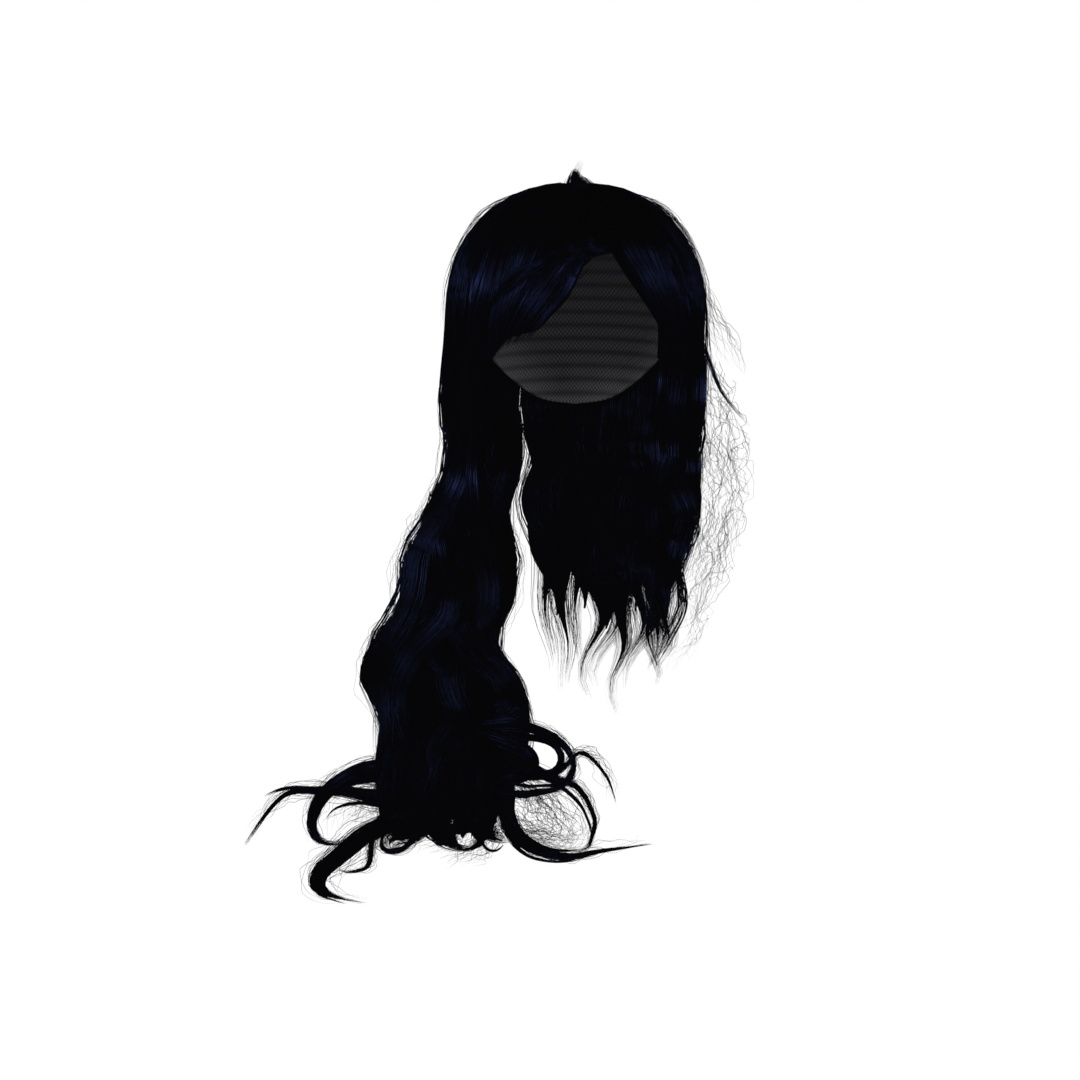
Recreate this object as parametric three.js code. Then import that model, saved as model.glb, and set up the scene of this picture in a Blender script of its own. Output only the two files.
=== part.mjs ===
// A long wavy wig with side-swept bangs, in the form that it takes on a head: a thin cap, panels of
// hair over it, long locks below them, and the curled ends of the locks that come forward.
// Millimetres, +Z up. The wearer faces -Y. Left and right are as seen from the front, so +X is right.
// The origin is the inside of the cap at the crown, where the cap rests on the top of the head.
import * as THREE from 'three';

const DEGREE = Math.PI / 180;

// Skull and hair are ellipsoids about one centre, which lies one skull height below the origin. A power
// below 1 makes one boxier: the hair stands away from the skull at its upper sides.
const SKULL = { halfWidth: 76, halfDepth: 96, height: 100, power: 1 };
const HAIR = { halfWidth: 100.5, halfDepth: 115, height: 113, power: 0.86 };
const CAP_WALL = 1.5;
const PIECE_GAP = 0.8;
const LOCK_FILL = 0.91; // share of its place in the row that a long lock fills
const LOCK_TOP_Z = -119.5; // where the panels end and the long locks begin
const CROWN_POLAR = 5; // the panels leave this angle open round the crown, and the tuft fills it
const BANGS_EDGE_SHARE = 0.55; // of the hair's depth, where the inside of a bang ends

// Colours as they look in daylight
const BLACK_HAIR = { color: 0x07080d, roughness: 0.42, metalness: 0 };
const CAP_NET = { color: 0x1b191c, roughness: 0.85, metalness: 0 };

// The cap's edge, by degrees from the middle of the forehead: hairline, temple, ear tab, ear and nape.
const CAP_EDGE = [
  { azimuth: 0, z: -37 },
  { azimuth: 30, z: -41 },
  { azimuth: 58, z: -76 },
  { azimuth: 75, z: -110 },
  { azimuth: 94, z: -93 },
  { azimuth: 120, z: -126 },
  { azimuth: 150, z: -155 },
  { azimuth: 180, z: -162 },
];

// Panels of hair on the head. Each row is a line that the hair follows, from its azimuth at the crown to
// its azimuth and height at the end. The sweep is the share of the way down where it starts to turn.
const BANGS_LEFT = [
  { start: 18.6, end: -19, endZ: -96, sweep: 0.4 },
  { start: 8, end: -26, endZ: -101, sweep: 0.4 },
  { start: -6, end: -32, endZ: -105, sweep: 0.4 },
  { start: -20, end: -36, endZ: -110, sweep: 0.4 },
  { start: -35, end: -39.5, endZ: -117, sweep: 0.3 },
  { start: -49.5, end: -42, endZ: -118, sweep: 0.2 },
];
const BANGS_RIGHT = [
  { start: 19.4, end: 42, endZ: -99, sweep: 0.5 },
  { start: 29, end: 47, endZ: -108, sweep: 0.5 },
  { start: 39, end: 52, endZ: -115, sweep: 0.5 },
  { start: 49.5, end: 56, endZ: -118, sweep: 0.5 },
];
const CROWN_HAIR = [
  { start: 50.2, end: 56.8, endZ: -118.5, sweep: 0.5 },
  { start: 115, end: 115, endZ: -118.5, sweep: 0.5 },
  { start: 180, end: 180, endZ: -118.5, sweep: 0.5 },
  { start: 245, end: 245, endZ: -118.5, sweep: 0.5 },
  { start: 309.8, end: 306.5, endZ: -118.5, sweep: 0.5 },
];

// The hair brought forward over the shoulder. Each row is a section of the whole band: its middle, the
// way its width points seen from above, how far it bows round the head, and its half-sizes.
const LEFT_LOCKS = 5;
const LEFT_TRESS = [
  { x: -60, y: 16, z: LOCK_TOP_Z, turn: 79, bow: 31, halfWidth: 77, halfThick: 9.5 },
  { x: -68, y: 10, z: -150, turn: 78, bow: 30, halfWidth: 72, halfThick: 10 },
  { x: -67, y: 5, z: -182, turn: 74, bow: 24, halfWidth: 67, halfThick: 10 },
  { x: -69, y: -2, z: -213, turn: 70, bow: 15, halfWidth: 61, halfThick: 11 },
  { x: -81, y: -16, z: -242, turn: 58, bow: 7, halfWidth: 58, halfThick: 12 },
  { x: -88, y: -30, z: -271, turn: 46, bow: 2, halfWidth: 54, halfThick: 12 },
  { x: -94, y: -44, z: -300, turn: 36, bow: 0, halfWidth: 51, halfThick: 12 },
  { x: -105, y: -56, z: -329, turn: 26, bow: 0, halfWidth: 51, halfThick: 13 },
  { x: -96, y: -70, z: -358, turn: 14, bow: 0, halfWidth: 65, halfThick: 13 },
  { x: -89, y: -83, z: -383, turn: 8, bow: 0, halfWidth: 67, halfThick: 13 },
  { x: -84, y: -98, z: -408, turn: 4, bow: 0, halfWidth: 74, halfThick: 12 },
  { x: -82, y: -116, z: -428, turn: 0, bow: 0, halfWidth: 70, halfThick: 10 },
  { x: -86, y: -134, z: -441, turn: 0, bow: 0, halfWidth: 58, halfThick: 7 },
  { x: -88, y: -150, z: -448, turn: 0, bow: 0, halfWidth: 46, halfThick: 3 },
];

// The hair that hangs down the right side and the back. Each row is a ring round the neck: its middle,
// its half-sizes and the half-thickness of the locks that stand side by side along it.
const BACK_LOCKS = 8;
const BACK_FIRST_AZIMUTH = 57;
const BACK_LAST_AZIMUTH = 207;
const BACK_CURTAIN = [
  { x: 0, y: 0, z: LOCK_TOP_Z, ringX: 89.5, ringY: 106, halfThick: 9.5 },
  { x: 0, y: 3, z: -150, ringX: 92, ringY: 101, halfThick: 9.5 },
  { x: 0, y: 10, z: -190, ringX: 91, ringY: 90, halfThick: 10 },
  { x: 1, y: 20, z: -230, ringX: 86, ringY: 77, halfThick: 10 },
  { x: 2, y: 30, z: -270, ringX: 79, ringY: 67, halfThick: 10 },
  { x: 3, y: 39, z: -310, ringX: 79, ringY: 60, halfThick: 10 },
  { x: 4, y: 46, z: -350, ringX: 69, ringY: 55, halfThick: 10 },
  { x: 5, y: 51, z: -390, ringX: 63, ringY: 51, halfThick: 9 },
  { x: 6, y: 54, z: -420, ringX: 60, ringY: 49, halfThick: 6.5 },
  { x: 6, y: 55, z: -440, ringX: 59, ringY: 48, halfThick: 2 },
];

// Loose waves run down all the long locks in step, from the jaw to the ends.
const WAVE = { across: 5, out: 4, length: 116, startZ: -130, fullZ: -230 };

// Curled ends that lie on the surface under the wig, and two short locks: a row for each section.
const CURLS = {
  left_tail_curl: [
    { x: -158, y: -84, z: -444, halfWidth: 8, halfThick: 5 },
    { x: -180, y: -74, z: -446, halfWidth: 7, halfThick: 4.5 },
    { x: -208, y: -70, z: -448, halfWidth: 5, halfThick: 4 },
    { x: -226, y: -88, z: -449, halfWidth: 4, halfThick: 3.5 },
    { x: -233, y: -132, z: -451, halfWidth: 3, halfThick: 2.5 },
    { x: -234, y: -175, z: -453, halfWidth: 1, halfThick: 1 },
  ],
  left_ring_curl: [
    { x: -157, y: -101, z: -423, halfWidth: 6, halfThick: 4.5 },
    { x: -174, y: -104, z: -429, halfWidth: 6.5, halfThick: 4.5 },
    { x: -190, y: -118, z: -442, halfWidth: 6, halfThick: 4 },
    { x: -190, y: -146, z: -448, halfWidth: 5, halfThick: 4 },
    { x: -171, y: -174, z: -450, halfWidth: 3.5, halfThick: 3 },
    { x: -157, y: -170, z: -450, halfWidth: 1.5, halfThick: 1.5 },
  ],
  front_hook_curl: [
    { x: -121, y: -162, z: -441, halfWidth: 10, halfThick: 4.5 },
    { x: -144, y: -182, z: -446, halfWidth: 11, halfThick: 6 },
    { x: -161, y: -210, z: -447, halfWidth: 11, halfThick: 6 },
    { x: -167, y: -240, z: -448, halfWidth: 10, halfThick: 5.5 },
    { x: -150, y: -258, z: -450, halfWidth: 6, halfThick: 4 },
    { x: -127, y: -263, z: -453, halfWidth: 1.5, halfThick: 1.5 },
  ],
  small_hook_curl: [
    { x: -131, y: -191, z: -450, halfWidth: 3, halfThick: 3 },
    { x: -133, y: -203, z: -451, halfWidth: 3, halfThick: 3 },
    { x: -139, y: -212, z: -451, halfWidth: 2.5, halfThick: 2.5 },
    { x: -147, y: -215, z: -452, halfWidth: 1, halfThick: 1 },
  ],
  front_left_curl: [
    { x: -118, y: -178, z: -451, halfWidth: 4, halfThick: 3 },
    { x: -112, y: -186, z: -451, halfWidth: 4, halfThick: 3 },
    { x: -102, y: -184, z: -451, halfWidth: 3.5, halfThick: 3 },
    { x: -96, y: -176, z: -451, halfWidth: 3, halfThick: 2.5 },
    { x: -92, y: -166, z: -453, halfWidth: 1, halfThick: 1 },
  ],
  front_right_curl: [
    { x: -66, y: -158, z: -450, halfWidth: 5, halfThick: 3.5 },
    { x: -60, y: -166, z: -450, halfWidth: 5, halfThick: 3.5 },
    { x: -64, y: -177, z: -451, halfWidth: 4, halfThick: 3 },
    { x: -77, y: -181, z: -453, halfWidth: 1, halfThick: 1 },
  ],
  right_sweep_curl: [
    { x: -46, y: -139, z: -424, halfWidth: 8, halfThick: 4 },
    { x: -51, y: -152, z: -440, halfWidth: 8, halfThick: 4 },
    { x: -43, y: -164, z: -449, halfWidth: 7, halfThick: 4 },
    { x: -25, y: -176, z: -450, halfWidth: 6, halfThick: 4 },
    { x: 2, y: -177, z: -451, halfWidth: 5, halfThick: 3.5 },
    { x: 30, y: -167, z: -452, halfWidth: 3, halfThick: 2.5 },
    { x: 60, y: -155, z: -454, halfWidth: 1, halfThick: 1 },
  ],
  right_ring_curl: [
    { x: -13, y: -137, z: -431, halfWidth: 5, halfThick: 3.5 },
    { x: -2, y: -128, z: -430, halfWidth: 6, halfThick: 3.5 },
    { x: 12, y: -136, z: -431, halfWidth: 5, halfThick: 3.5 },
    { x: 19, y: -158, z: -435, halfWidth: 4, halfThick: 3 },
    { x: 12, y: -184, z: -440, halfWidth: 3.5, halfThick: 3 },
    { x: -9, y: -200, z: -446, halfWidth: 3, halfThick: 2.5 },
    { x: -29, y: -196, z: -450, halfWidth: 1, halfThick: 1 },
  ],
  upper_ring_curl: [
    { x: -44, y: -126, z: -386, halfWidth: 6, halfThick: 4 },
    { x: -18, y: -116, z: -388, halfWidth: 6, halfThick: 4 },
    { x: 0, y: -108, z: -401, halfWidth: 5, halfThick: 4 },
    { x: 0, y: -116, z: -416, halfWidth: 4.5, halfThick: 4 },
    { x: -16, y: -130, z: -419, halfWidth: 3.5, halfThick: 3 },
    { x: -34, y: -138, z: -414, halfWidth: 1.2, halfThick: 1.2 },
  ],
  thin_loop_curl: [
    { x: 8, y: -108, z: -404, halfWidth: 2, halfThick: 2 },
    { x: 16, y: -107, z: -404, halfWidth: 2.5, halfThick: 2 },
    { x: 28, y: -120, z: -415, halfWidth: 2.5, halfThick: 2 },
    { x: 32, y: -146, z: -430, halfWidth: 2.2, halfThick: 2 },
    { x: 26, y: -160, z: -441, halfWidth: 1, halfThick: 1 },
  ],
  flyaway_lock: [
    { x: 106, y: 4, z: -127, halfWidth: 1.5, halfThick: 1.2 },
    { x: 113, y: 3, z: -143, halfWidth: 1.8, halfThick: 1.2 },
    { x: 123, y: 2, z: -156, halfWidth: 1.5, halfThick: 1 },
    { x: 137, y: 1, z: -171, halfWidth: 0.6, halfThick: 0.6 },
  ],
  crown_tuft: [
    { x: 0, y: 0, z: 3.5, halfWidth: 5, halfThick: 5 },
    { x: 0, y: 0, z: 12, halfWidth: 10.5, halfThick: 10.5 },
    { x: 0, y: 0, z: 15, halfWidth: 8.5, halfThick: 8 },
    { x: 0, y: -1, z: 19, halfWidth: 3.2, halfThick: 3 },
    { x: 0, y: -1, z: 24, halfWidth: 1.6, halfThick: 1.5 },
    { x: 1, y: -2, z: 29, halfWidth: 0.6, halfThick: 0.6 },
  ],
};

// How finely the pieces are faceted
const CAP_COLUMNS = 36;
const CAP_ROWS = 9;
const PANEL_ROWS = 8;
const PANEL_STEPS = 3; // columns between two rows of a panel's table
const CROWN_STEPS = 7;
const LOCK_SIDES = 8;
const LOCK_STEPS = 2; // sections between two rows of a lock's table

// Every column of a table at a place between its rows, on a smooth curve through them. Row i is at
// place i, so 1.5 is half-way from the second row to the third.
function rowAt(rows, place) {
  const last = rows.length - 1;
  const i = Math.min(Math.floor(place), last - 1);
  const near = [i - 1, i, i + 1, i + 2].map((k) => rows[Math.min(Math.max(k, 0), last)]);
  const row = {};
  for (const column of Object.keys(rows[0])) {
    const [before, from, to, after] = near.map((r) => r[column]);
    const ease = new THREE.CubicBezierCurve3(
      new THREE.Vector3(from),
      new THREE.Vector3(from + (to - before) / 6),
      new THREE.Vector3(to - (after - from) / 6),
      new THREE.Vector3(to),
    );
    row[column] = ease.getPoint(place - i).x;
  }
  return row;
}

// The same table with more rows, a given number of steps from one row to the next.
function refined(rows, steps) {
  const count = (rows.length - 1) * steps;
  return Array.from({ length: count + 1 }, (_, k) => rowAt(rows, k / steps));
}

// The place in a table where a rising column reaches a value.
function placeOf(rows, column, value) {
  const i = Math.max(0, Math.min(rows.length - 2, rows.findIndex((r) => r[column] >= value) - 1));
  return i + (value - rows[i][column]) / (rows[i + 1][column] - rows[i][column]);
}

// An ellipsoid a little larger than another, and one part of the way between two.
function grown(shape, by) {
  return {
    halfWidth: shape.halfWidth + by,
    halfDepth: shape.halfDepth + by,
    height: shape.height + by,
    power: shape.power,
  };
}

function between(inner, outer, share) {
  return {
    halfWidth: THREE.MathUtils.lerp(inner.halfWidth, outer.halfWidth, share),
    halfDepth: THREE.MathUtils.lerp(inner.halfDepth, outer.halfDepth, share),
    height: THREE.MathUtils.lerp(inner.height, outer.height, share),
    power: THREE.MathUtils.lerp(inner.power, outer.power, share),
  };
}

// A point on such an ellipsoid: azimuth from the forehead towards the right, polar angle from the crown.
function onHead(shape, azimuth, polar) {
  const ring = Math.sin(polar * DEGREE) ** shape.power;
  const rise = Math.cos(polar * DEGREE);
  return new THREE.Vector3(
    shape.halfWidth * ring * Math.sin(azimuth * DEGREE),
    -shape.halfDepth * ring * Math.cos(azimuth * DEGREE),
    shape.height * Math.sign(rise) * Math.abs(rise) ** shape.power - SKULL.height,
  );
}

function polarAtHeight(shape, z) {
  const rise = (z + SKULL.height) / shape.height;
  return Math.acos(Math.sign(rise) * Math.abs(rise) ** (1 / shape.power)) / DEGREE;
}

// A closed solid from points and triangles. Triangles that collapse at a pole are dropped, and all are
// turned round together if they face inwards.
function solidGeometry(points, triangles) {
  const kept = triangles.filter(([a, b, c]) => {
    const [p, q, r] = [points[a], points[b], points[c]];
    return p.distanceTo(q) > 1e-4 && q.distanceTo(r) > 1e-4 && r.distanceTo(p) > 1e-4;
  });
  const sixVolumes = kept.reduce(
    (sum, [a, b, c]) => sum + points[a].dot(points[b].clone().cross(points[c])),
    0,
  );
  const faces = sixVolumes < 0 ? kept.map(([a, b, c]) => [a, c, b]) : kept;
  const geometry = new THREE.BufferGeometry().setFromPoints(points);
  geometry.setIndex(faces.flat());
  geometry.computeVertexNormals();
  return geometry;
}

function quad(a, b, c, d) {
  return [[a, b, c], [a, c, d]];
}

// A wall between two grids of points, [column][row], outer and inner, closed along its edges. A wall that
// wraps has no side edges, and one that starts at a pole has no top edge.
function wallGeometry(outer, inner, { wraps = false, pole = false } = {}) {
  const columns = outer.length;
  const rows = outer[0].length;
  const points = [...outer.flat(), ...inner.flat()];
  const out = (c, r) => (c % columns) * rows + r;
  const inn = (c, r) => columns * rows + out(c, r);
  const triangles = [];
  const spans = wraps ? columns : columns - 1;
  for (let c = 0; c < spans; c++) {
    for (let r = 0; r < rows - 1; r++) {
      triangles.push(...quad(out(c, r), out(c + 1, r), out(c + 1, r + 1), out(c, r + 1)));
      triangles.push(...quad(inn(c, r), inn(c, r + 1), inn(c + 1, r + 1), inn(c + 1, r)));
    }
    const end = rows - 1;
    triangles.push(...quad(out(c, end), out(c + 1, end), inn(c + 1, end), inn(c, end)));
    if (!pole) triangles.push(...quad(out(c, 0), inn(c, 0), inn(c + 1, 0), out(c + 1, 0)));
  }
  if (!wraps) {
    for (let r = 0; r < rows - 1; r++) {
      const last = columns - 1;
      triangles.push(...quad(out(0, r), out(0, r + 1), inn(0, r + 1), inn(0, r)));
      triangles.push(...quad(out(last, r), inn(last, r), inn(last, r + 1), out(last, r + 1)));
    }
  }
  return solidGeometry(points, triangles);
}

// The net cap, from the crown to its edge.
function capGeometry() {
  const grid = (shape) =>
    Array.from({ length: CAP_COLUMNS }, (_, column) => {
      const azimuth = (column / CAP_COLUMNS) * 360;
      const fromForehead = Math.min(azimuth, 360 - azimuth);
      const edge = rowAt(CAP_EDGE, placeOf(CAP_EDGE, 'azimuth', fromForehead));
      const edgePolar = polarAtHeight(shape, edge.z);
      return Array.from({ length: CAP_ROWS + 1 }, (_, row) =>
        onHead(shape, azimuth, (edgePolar * row) / CAP_ROWS),
      );
    });
  return wallGeometry(grid(grown(SKULL, CAP_WALL)), grid(SKULL), { wraps: true, pole: true });
}

// A panel of hair on the head, thinned towards its ends on the inside.
function panelGeometry(lines, steps, edgeShare) {
  const under = grown(SKULL, CAP_WALL + PIECE_GAP);
  const grid = (shareAt) =>
    refined(lines, steps).map((line) =>
      Array.from({ length: PANEL_ROWS + 1 }, (_, row) => {
        const along = row / PANEL_ROWS;
        const shape = between(under, HAIR, shareAt(along));
        const turned = THREE.MathUtils.smoothstep(along, line.sweep, 1 + (1 - line.sweep));
        const azimuth = THREE.MathUtils.lerp(line.start, line.end, 2 * turned);
        const polar = THREE.MathUtils.lerp(CROWN_POLAR, polarAtHeight(shape, line.endZ), along);
        return onHead(shape, azimuth, polar);
      }),
    );
  return wallGeometry(
    grid(() => 1),
    grid((along) => edgeShare * along ** 3),
  );
}

// A lock: a closed tube of oval sections. Each section has its centre, the directions of its width and of
// its thickness, and its two half-sizes.
function lockGeometry(sections) {
  const points = [];
  const triangles = [];
  for (const section of sections) {
    for (let side = 0; side < LOCK_SIDES; side++) {
      const angle = (side / LOCK_SIDES) * 2 * Math.PI;
      points.push(
        section.centre
          .clone()
          .addScaledVector(section.across, section.halfWidth * Math.cos(angle))
          .addScaledVector(section.out, section.halfThick * Math.sin(angle)),
      );
    }
  }
  const at = (k, side) => k * LOCK_SIDES + (side % LOCK_SIDES);
  const last = sections.length - 1;
  const ends = [points.length, points.length + 1];
  points.push(sections[0].centre.clone(), sections[last].centre.clone());
  for (let side = 0; side < LOCK_SIDES; side++) {
    triangles.push([ends[0], at(0, side), at(0, side + 1)]);
    triangles.push([ends[1], at(last, side + 1), at(last, side)]);
    for (let k = 0; k < last; k++) {
      triangles.push(...quad(at(k, side), at(k + 1, side), at(k + 1, side + 1), at(k, side + 1)));
    }
  }
  return solidGeometry(points, triangles);
}

// The waves' offset at a height, as shares along the width of a lock and out from it.
function waveAt(z) {
  const grows = THREE.MathUtils.smoothstep(-z, -WAVE.startZ, -WAVE.fullZ);
  const phase = ((WAVE.startZ - z) / WAVE.length) * 2 * Math.PI;
  return { across: WAVE.across * grows * Math.sin(phase), out: WAVE.out * grows * Math.cos(phase) };
}

// A level section of a hanging lock, with its middle moved by the waves. Level sections of neighbouring
// locks stay side by side all the way down.
function levelSection(middle, width, outward, halfWidth, halfThick) {
  const wave = waveAt(middle.z);
  const centre = middle.addScaledVector(width, wave.across).addScaledVector(outward, wave.out);
  return { centre, across: width, out: outward, halfWidth: LOCK_FILL * halfWidth, halfThick };
}

// One lock of the band over the shoulder. Its share runs from -1 at the face to 1 behind the ear.
function leftLockSections(share) {
  return refined(LEFT_TRESS, LOCK_STEPS).map((row) => {
    const bandWidth = new THREE.Vector3(Math.cos(row.turn * DEGREE), Math.sin(row.turn * DEGREE), 0);
    const bandOut = new THREE.Vector3(-bandWidth.y, bandWidth.x, 0);
    const middle = new THREE.Vector3(row.x, row.y, row.z)
      .addScaledVector(bandWidth, row.halfWidth * share)
      .addScaledVector(bandOut, row.bow * (1 - share * share));
    const width = bandWidth.multiplyScalar(row.halfWidth).addScaledVector(bandOut, -2 * row.bow * share);
    const halfWidth = width.length() / LEFT_LOCKS;
    width.normalize();
    const outward = new THREE.Vector3(-width.y, width.x, 0);
    return levelSection(middle, width, outward, halfWidth, row.halfThick);
  });
}

// One lock of the curtain down the side and back, at its azimuth on the rings.
function backLockSections(azimuth) {
  const halfStep = (BACK_LAST_AZIMUTH - BACK_FIRST_AZIMUTH) / BACK_LOCKS / 2;
  const angle = azimuth * DEGREE;
  return refined(BACK_CURTAIN, LOCK_STEPS).map((row) => {
    const middle = new THREE.Vector3(
      row.x + row.ringX * Math.sin(angle),
      row.y - row.ringY * Math.cos(angle),
      row.z,
    );
    const width = new THREE.Vector3(row.ringX * Math.cos(angle), row.ringY * Math.sin(angle), 0);
    const halfWidth = width.length() * halfStep * DEGREE;
    width.normalize();
    const outward = new THREE.Vector3(width.y, -width.x, 0);
    return levelSection(middle, width, outward, halfWidth, row.halfThick);
  });
}

// The sections of a curl lie square to its path, with their width level.
function curlSections(rows) {
  const fine = refined(rows, LOCK_STEPS);
  return fine.map((row, k) => {
    const before = fine[Math.max(k - 1, 0)];
    const after = fine[Math.min(k + 1, fine.length - 1)];
    const along = new THREE.Vector3(after.x - before.x, after.y - before.y, after.z - before.z);
    const across = new THREE.Vector3(-along.y, along.x, 0);
    if (Math.hypot(along.x, along.y) < 0.3 * Math.abs(along.z)) across.set(1, 0, 0); // upright
    across.normalize();
    const out = across.clone().cross(along.normalize()).normalize();
    return { ...row, centre: new THREE.Vector3(row.x, row.y, row.z), across, out };
  });
}

const wig = new THREE.Group();

function add(name, geometry, finish) {
  const mesh = new THREE.Mesh(geometry, new THREE.MeshStandardMaterial(finish));
  mesh.name = name;
  wig.add(mesh);
}

add('cap', capGeometry(), CAP_NET);
add('crown_hair', panelGeometry(CROWN_HAIR, CROWN_STEPS, 0), BLACK_HAIR);
add('bangs_left', panelGeometry(BANGS_LEFT, PANEL_STEPS, BANGS_EDGE_SHARE), BLACK_HAIR);
add('bangs_right', panelGeometry(BANGS_RIGHT, PANEL_STEPS, BANGS_EDGE_SHARE), BLACK_HAIR);
for (let k = 0; k < LEFT_LOCKS; k++) {
  const share = (2 * k + 1) / LEFT_LOCKS - 1;
  add(`left_lock_${k + 1}`, lockGeometry(leftLockSections(share)), BLACK_HAIR);
}
for (let k = 0; k < BACK_LOCKS; k++) {
  const share = (k + 0.5) / BACK_LOCKS;
  const azimuth = THREE.MathUtils.lerp(BACK_FIRST_AZIMUTH, BACK_LAST_AZIMUTH, share);
  add(`back_lock_${k + 1}`, lockGeometry(backLockSections(azimuth)), BLACK_HAIR);
}
for (const [name, rows] of Object.entries(CURLS)) {
  add(name, lockGeometry(curlSections(rows)), BLACK_HAIR);
}

export default wig;
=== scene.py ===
# %% [markdown]
# # A long black wig with side-swept bangs
# The solids that load here give each mass of hair its place and outer form. This lesson gives the wig its
# looks: thousands of fine strands that follow those masses, dark cores that stop the light between them,
# and the net cap that the hair is sewn on. Lengths in the tables are millimetres and become metres when
# points are made. Left and right are as seen from the front.

# %% Load the frame
import math

import bpy
import numpy as np
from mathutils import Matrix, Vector


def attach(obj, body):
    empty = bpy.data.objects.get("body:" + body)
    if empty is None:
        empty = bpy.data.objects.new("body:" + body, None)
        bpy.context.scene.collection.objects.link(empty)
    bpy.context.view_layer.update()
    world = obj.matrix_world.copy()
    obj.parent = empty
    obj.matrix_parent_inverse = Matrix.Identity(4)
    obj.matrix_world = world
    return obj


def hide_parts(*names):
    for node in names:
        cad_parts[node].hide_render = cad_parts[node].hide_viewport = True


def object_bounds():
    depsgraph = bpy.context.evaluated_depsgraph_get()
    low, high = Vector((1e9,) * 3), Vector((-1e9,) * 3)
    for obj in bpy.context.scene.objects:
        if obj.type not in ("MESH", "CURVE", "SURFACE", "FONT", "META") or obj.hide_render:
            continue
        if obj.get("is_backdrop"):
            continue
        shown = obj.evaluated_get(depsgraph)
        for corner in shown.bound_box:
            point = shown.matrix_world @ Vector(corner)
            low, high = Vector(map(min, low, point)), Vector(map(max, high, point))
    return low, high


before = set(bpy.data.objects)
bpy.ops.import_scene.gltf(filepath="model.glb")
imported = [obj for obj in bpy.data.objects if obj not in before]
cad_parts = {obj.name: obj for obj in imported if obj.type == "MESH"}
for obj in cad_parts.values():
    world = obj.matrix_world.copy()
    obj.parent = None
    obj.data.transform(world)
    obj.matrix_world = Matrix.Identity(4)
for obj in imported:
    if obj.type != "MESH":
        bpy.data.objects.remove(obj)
cad_box = [list(corner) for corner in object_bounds()]
print("solids:", len(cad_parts), "box:", cad_box)

# %% [markdown]
# ## Camera, floor and light
# The wig stands as it was photographed: from the front, a little above, with its ends on a pale surface.
# A 50 mm lens on a 36 mm wide picture gives the photograph's mild perspective. The camera is aimed by a
# direction, because a camera looks along its own -Z, and `to_track_quat` turns that axis to any vector.

# %% Camera
LENS = 50
PICTURE_WIDTH = 36
CAMERA_AT = Vector((0, -1.165, -0.020))
LOOK_DOWN = math.radians(11.75)
LOOK_LEFT = math.radians(1.34)


def new_object(name, data):
    """An object in the scene that shows a camera, a light or a mesh."""
    made = bpy.data.objects.new(name, data)
    bpy.context.scene.collection.objects.link(made)
    return made


def aimed(direction):
    """The turn of a camera or a light that looks in a direction."""
    return direction.to_track_quat("-Z", "Y").to_euler()


camera = new_object("camera", bpy.data.cameras.new("camera"))
camera.data.lens = LENS
camera.data.sensor_width = PICTURE_WIDTH
camera.location = CAMERA_AT
looking = Vector((
    -math.sin(LOOK_LEFT) * math.cos(LOOK_DOWN),
    math.cos(LOOK_LEFT) * math.cos(LOOK_DOWN),
    -math.sin(LOOK_DOWN),
))
camera.rotation_euler = aimed(looking)
bpy.context.scene.camera = camera
print("camera looks along", tuple(round(v, 3) for v in looking))

# %% [markdown]
# Two soft boxes stand well in front, left and right, and a little above the wig, so that their shine lies
# across the strands as bands near the temples. Two more stand behind and show the back.

# %% Soft boxes and floor
MM = 0.001
FLOOR_Z = -455 * MM
FLOOR_HALF = 1.6
LIGHTS_AIM = Vector((0, 0, -0.15))
SOFT_BOXES = {  # name: place, width, height, power
    "left_box": ((-0.95, -1.90, 0.38), 0.5, 0.35, 210),
    "right_box": ((1.15, -1.80, 0.38), 0.5, 0.35, 190),
    "back_left_box": ((-1.5, 1.5, 0.6), 0.6, 0.6, 300),
    "back_right_box": ((1.5, 1.5, 0.6), 0.6, 0.6, 300),
}

for name, (place, width, height, power) in SOFT_BOXES.items():
    light = bpy.data.lights.new(name, "AREA")
    light.shape = "RECTANGLE"
    light.size = width
    light.size_y = height
    light.energy = power
    box = new_object(name, light)
    box.location = place
    box.rotation_euler = aimed(LIGHTS_AIM - box.location)

floor_mesh = bpy.data.meshes.new("floor")
corners = [(-1, -1), (1, -1), (1, 1), (-1, 1)]
floor_mesh.from_pydata([(FLOOR_HALF * x, FLOOR_HALF * y, FLOOR_Z) for x, y in corners], [], [(0, 1, 2, 3)])
floor = new_object("floor", floor_mesh)
floor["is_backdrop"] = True
print("lights:", list(SOFT_BOXES))

# %% [markdown]
# ## A socket that does sums
# Shader trees and Geometry Nodes trees are both made of nodes and sockets. Written out link by link, a
# small sum fills a page. This class holds one socket, and its operators add the Math node for us, or Vector
# Math when a term is a vector. Every other kind of node comes from `node`.

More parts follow.
